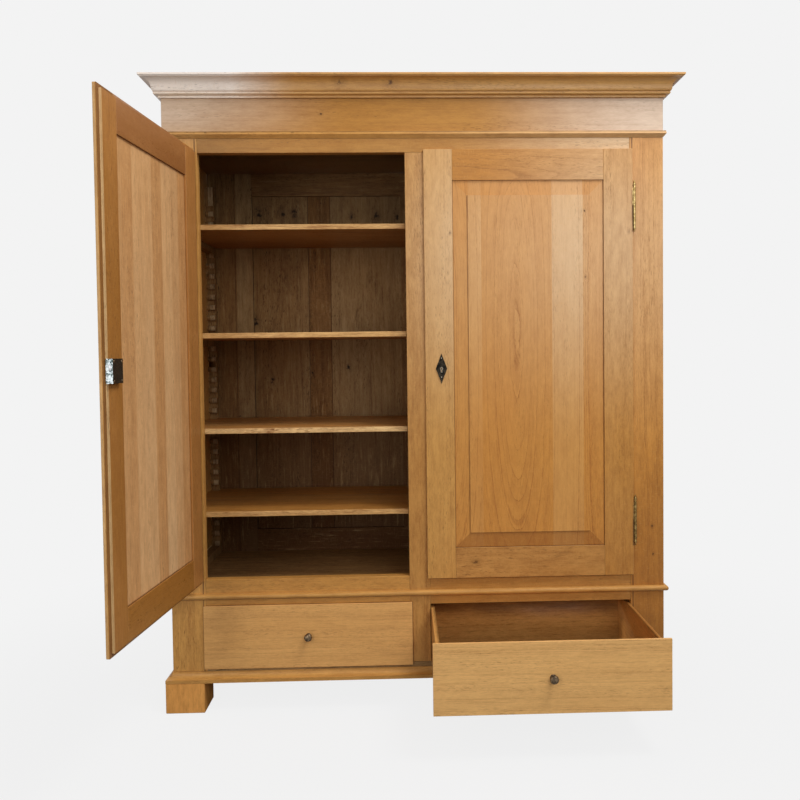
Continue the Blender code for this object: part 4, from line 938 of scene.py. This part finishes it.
def headTree(domed):
    # heads of nails or slotted screws on the points of a mesh
    inputs = {
        "Radius": "Float", "Height": "Float", "Slot": "Float", "Facing": "Vector", "Seed": "Int",
        "Metal": "Material",
    }
    start, given = fittingTree("nail heads" if domed else "screw heads", inputs)
    radius, height = given.other("Radius"), given.other("Height")
    if domed:
        ball = start.node("GeometryNodeMeshUVSphere", {}, {"Segments": 20, "Rings": 12, "Radius": radius})
        flat = {"Geometry": ball, "Scale": start.packed(1.0, 1.0, height / radius)}
        head = start.node("GeometryNodeTransform", {}, flat)
        head = start.node("GeometryNodeSetShadeSmooth", {}, {0: head})
    else:
        top = radius * doorFittings["screwTop"]
        cone = {"Vertices": 24, "Radius Top": top, "Radius Bottom": radius, "Depth": height}
        head = start.node("GeometryNodeMeshCone", {}, cone)
        slotSize = start.packed(radius * doorFittings["slotLength"], given.other("Slot"), height)
        bar = start.node("GeometryNodeMeshCube", {}, {"Size": slotSize})
        lifted = {"Geometry": bar, "Translation": start.packed(0.0, 0.0, height * doorFittings["slotRise"])}
        bar = start.node("GeometryNodeTransform", {}, lifted)
        head = start.node("GeometryNodeMeshBoolean", {"operation": "DIFFERENCE"}, {0: head, 1: bar})
    places = {"Points": given, "Instance": head, "Rotation": given.other("Facing")}
    heads = start.node("GeometryNodeInstanceOnPoints", {}, places)
    turns = {2: 0.0, 3: math.pi, "Seed": given.other("Seed")}
    angle = start.node("FunctionNodeRandomValue", {"data_type": "FLOAT"}, turns, out=1)
    spin = {"Instances": heads, "Rotation": start.packed(0.0, 0.0, angle), "Local Space": True}
    heads = start.node("GeometryNodeRotateInstances", {}, spin)
    return endTree(start, heads, given.other("Metal"))


def rimTree():
    # a raised rim that follows an outline
    start, given = fittingTree("keyhole rim", {"Radius": "Float", "Metal": "Material"})
    path = start.node("GeometryNodeMeshToCurve", {}, {0: given})
    circle = {"Resolution": 10, "Radius": given.other("Radius")}
    profile = start.node("GeometryNodeCurvePrimitiveCircle", {}, circle)
    rim = start.node("GeometryNodeCurveToMesh", {}, {"Curve": path, "Profile Curve": profile})
    rim = start.node("GeometryNodeSetShadeSmooth", {}, {0: rim})
    return endTree(start, rim, given.other("Metal"))


def fitting(name, tree, points, edges, values, body):
    data = bpy.data.meshes.new(name)
    data.from_pydata([tuple(point) for point in points], edges, [])
    piece = bpy.data.objects.new(name, data)
    scene.collection.objects.link(piece)
    nodesModifier = piece.modifiers.new("fitting", "NODES")
    nodesModifier.node_group = tree
    for item in tree.interface.items_tree:
        if item.in_out == "INPUT" and item.name in values:
            nodesModifier[item.identifier] = values[item.name]
    graph = bpy.context.evaluated_depsgraph_get()
    made = bpy.data.meshes.new_from_object(piece.evaluated_get(graph), depsgraph=graph)
    piece.modifiers.clear()
    piece.data = made
    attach(piece, body)


doorFittings = {
    "screws": {"Radius": 0.0029, "Height": 0.0010, "Slot": 0.0009},
    "screwInset": 0.0062, "screwTop": 0.72, "slotLength": 3.0, "slotRise": 1.05,
    "nails": {"Radius": 0.0021, "Height": 0.0012}, "nailPlaces": (0.0330, -0.0275),
    "rim": {"Radius": 0.0009}, "rimSteps": 20,
    "keyholeRadius": 0.0038, "keyholeWidth": 0.0044, "keyholeDrop": 0.0116,
}
screwHeads, nailHeads, keyholeRim = headTree(False), headTree(True), rimTree()
rubbedBronze = mottledMetal("rubbed bronze", hardware["rubbedBronze"])
toOpen = toShut.inverted()
caseLow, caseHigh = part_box("right_lock_case")
plateLow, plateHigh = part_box("right_escutcheon")


def keyholeOutline(x, y, z):
    # round hole with a slot below it, as points in order
    half, radius = doorFittings["keyholeWidth"] / 2, doorFittings["keyholeRadius"]
    first = math.asin(half / radius)
    points = []
    for step in range(doorFittings["rimSteps"] + 1):
        turn = -math.pi / 2 + first + (2 * math.pi - 2 * first) * step / doorFittings["rimSteps"]
        points.append(Vector((x + radius * math.cos(turn), y, z + radius * math.sin(turn))))
    points += [Vector((x + side * half, y, z - doorFittings["keyholeDrop"])) for side in (-1, 1)]
    return points


def placed(points, hand):
    # places on the right door as they are, or mirrored and turned onto the open left door
    if hand == "right":
        return points
    return [toOpen @ Vector((-point.x, point.y, point.z)) for point in points]


inset = doorFittings["screwInset"]
corners = [
    Vector((x, caseHigh.y, z)) for x in (hardware["lock"]["plateEnd"] + inset, caseHigh.x - inset)
    for z in (caseLow.z + inset, caseHigh.z - inset)
]
middle = (plateLow + plateHigh) / 2
nails = [Vector((middle.x, plateLow.y, middle.z + rise)) for rise in doorFittings["nailPlaces"]]
keyhole = keyholeOutline(middle.x, plateLow.y, middle.z)
loop = [(index, (index + 1) % len(keyhole)) for index in range(len(keyhole))]
for hand, seed in (("right", 3), ("left", 8)):
    turn = 0.0 if hand == "right" else -shutTurn
    body = bodyOf[hand + "_lock_case"]
    fitting(hand + "_lock_screws", screwHeads, placed(corners, hand), [], {
        **doorFittings["screws"], "Facing": (-math.pi / 2, 0.0, turn), "Seed": seed, "Metal": knobBronze,
    }, body)
    fitting(hand + "_escutcheon_nails", nailHeads, placed(nails, hand), [], {
        **doorFittings["nails"], "Facing": (math.pi / 2, 0.0, turn), "Seed": seed, "Metal": rubbedBronze,
    }, body)
    fitting(hand + "_keyhole_rim", keyholeRim, placed(keyhole, hand), loop, {
        **doorFittings["rim"], "Metal": rubbedBronze,
    }, body)
print("screws, nails and keyhole rims fitted")

# the photograph's camera: a full-frame lens at eye height, a little left of the middle
camera = {
    "lens": 38.044, "place": (-0.05067, -2.65632, 1.14901),
    "yaw": 0.0336, "pitch": -0.0345, "roll": 0.0125, "shift": (-0.0374, -0.0221),
}
studio = {
    "background": tint(243, 243, 243),
    "fill": 0.40,
    "lamps": {  # place, aim, size and power
        "key": ((1.45, -1.2, 3.8), (0.0, 0.1, 1.1), (1.2, 1.2), 68.0),
        "rightSoftbox": ((1.1, -3.0, 2.2), (0.4, 0.0, 1.6), (1.6, 1.7), 27.0),
        "leftStrip": ((-1.45, -3.0, 1.5), (-0.7, 0.0, 1.6), (0.6, 2.6), 22.0),
        "backSoftbox": ((-0.6, 3.6, 2.4), (0.0, 0.6, 1.0), (1.8, 1.6), 24.0),
    },
    "floorColour": (0.8, 0.8, 0.8, 1.0),
    "floorBounce": (0.15, 0.15, 0.15, 1.0),
    "floorHalf": 9.0,
    "floorDrop": 0.0005,
    "shadowReach": (0.9, 2.4),
    "shadowShare": 0.07,
}

eye = bpy.data.cameras.new("eye")
eye.lens = camera["lens"]
eye.shift_x, eye.shift_y = camera["shift"]
eyeObject = bpy.data.objects.new("eye", eye)
turn = (
    Matrix.Rotation(camera["roll"], 4, "Y") @ Matrix.Rotation(camera["pitch"], 4, "X")
    @ Matrix.Rotation(-camera["yaw"], 4, "Z") @ Matrix.Rotation(math.radians(90), 4, "X")
)
eyeObject.matrix_world = Matrix.Translation(camera["place"]) @ turn
scene.collection.objects.link(eyeObject)
scene.camera = eyeObject
scene.view_settings.view_transform = "Standard"

for name, (place, aim, size, power) in studio["lamps"].items():
    light = bpy.data.lights.new(name, "AREA")
    light.shape = "RECTANGLE"
    light.size, light.size_y = size
    light.energy = power
    lightObject = bpy.data.objects.new(name, light)
    lightObject.location = place
    lightObject.rotation_euler = (Vector(aim) - Vector(place)).to_track_quat("-Z", "Y").to_euler()
    scene.collection.objects.link(lightObject)


def seenDirectly(start):
    # camera, mirror and glass rays, which see the plain background
    path = start.node("ShaderNodeLightPath", out="Is Camera Ray")
    seen = path.math("MAXIMUM", path, path.other("Is Glossy Ray"))
    return seen.math("MAXIMUM", seen, path.other("Is Transmission Ray"))


world = bpy.data.worlds.new("studio")
world.use_nodes = True
world.node_tree.nodes.clear()
start = Wire(world.node_tree)
seen = seenDirectly(start)
plain = start.node("ShaderNodeBackground", {}, {"Color": studio["background"], "Strength": 1.0})
fill = start.node("ShaderNodeBackground", {}, {"Color": (1.0, 1.0, 1.0, 1.0), "Strength": studio["fill"]})
mixed = start.node("ShaderNodeMixShader", {}, {0: seen, 1: fill, 2: plain})
start.node("ShaderNodeOutputWorld", {}, {"Surface": mixed})
scene.world = world

# the floor keeps a soft shadow near the feet and meets the background further out
floorMaterial, start = newMaterial("pale floor")
x, y, z = objectPoint(start).xyz()
apart = (x * x + y * y) ** 0.5
shown = apart.smooth(*studio["shadowReach"], 1.0 - studio["shadowShare"], 1.0)
bounced = start.node("ShaderNodeLightPath", out="Is Diffuse Ray")
paint = bounced.blend(studio["floorColour"], studio["floorBounce"])
matt = start.node("ShaderNodeBsdfDiffuse", {}, {"Color": paint})
glow = start.node("ShaderNodeEmission", {}, {"Color": studio["background"], "Strength": 1.0})
mixed = start.node("ShaderNodeMixShader", {}, {0: seenDirectly(start) * shown, 1: matt, 2: glow})
start.node("ShaderNodeOutputMaterial", {}, {"Surface": mixed})
floorMesh = bpy.data.meshes.new("floor")
half, drop = studio["floorHalf"], -studio["floorDrop"]
floorMesh.from_pydata(
    [(-half, -half, drop), (half, -half, drop), (half, half, drop), (-half, half, drop)], [], [(0, 1, 2, 3)]
)
floorMesh.materials.append(floorMaterial)
floor = bpy.data.objects.new("floor", floorMesh)
scene.collection.objects.link(floor)
print("camera, lamps and floor placed")
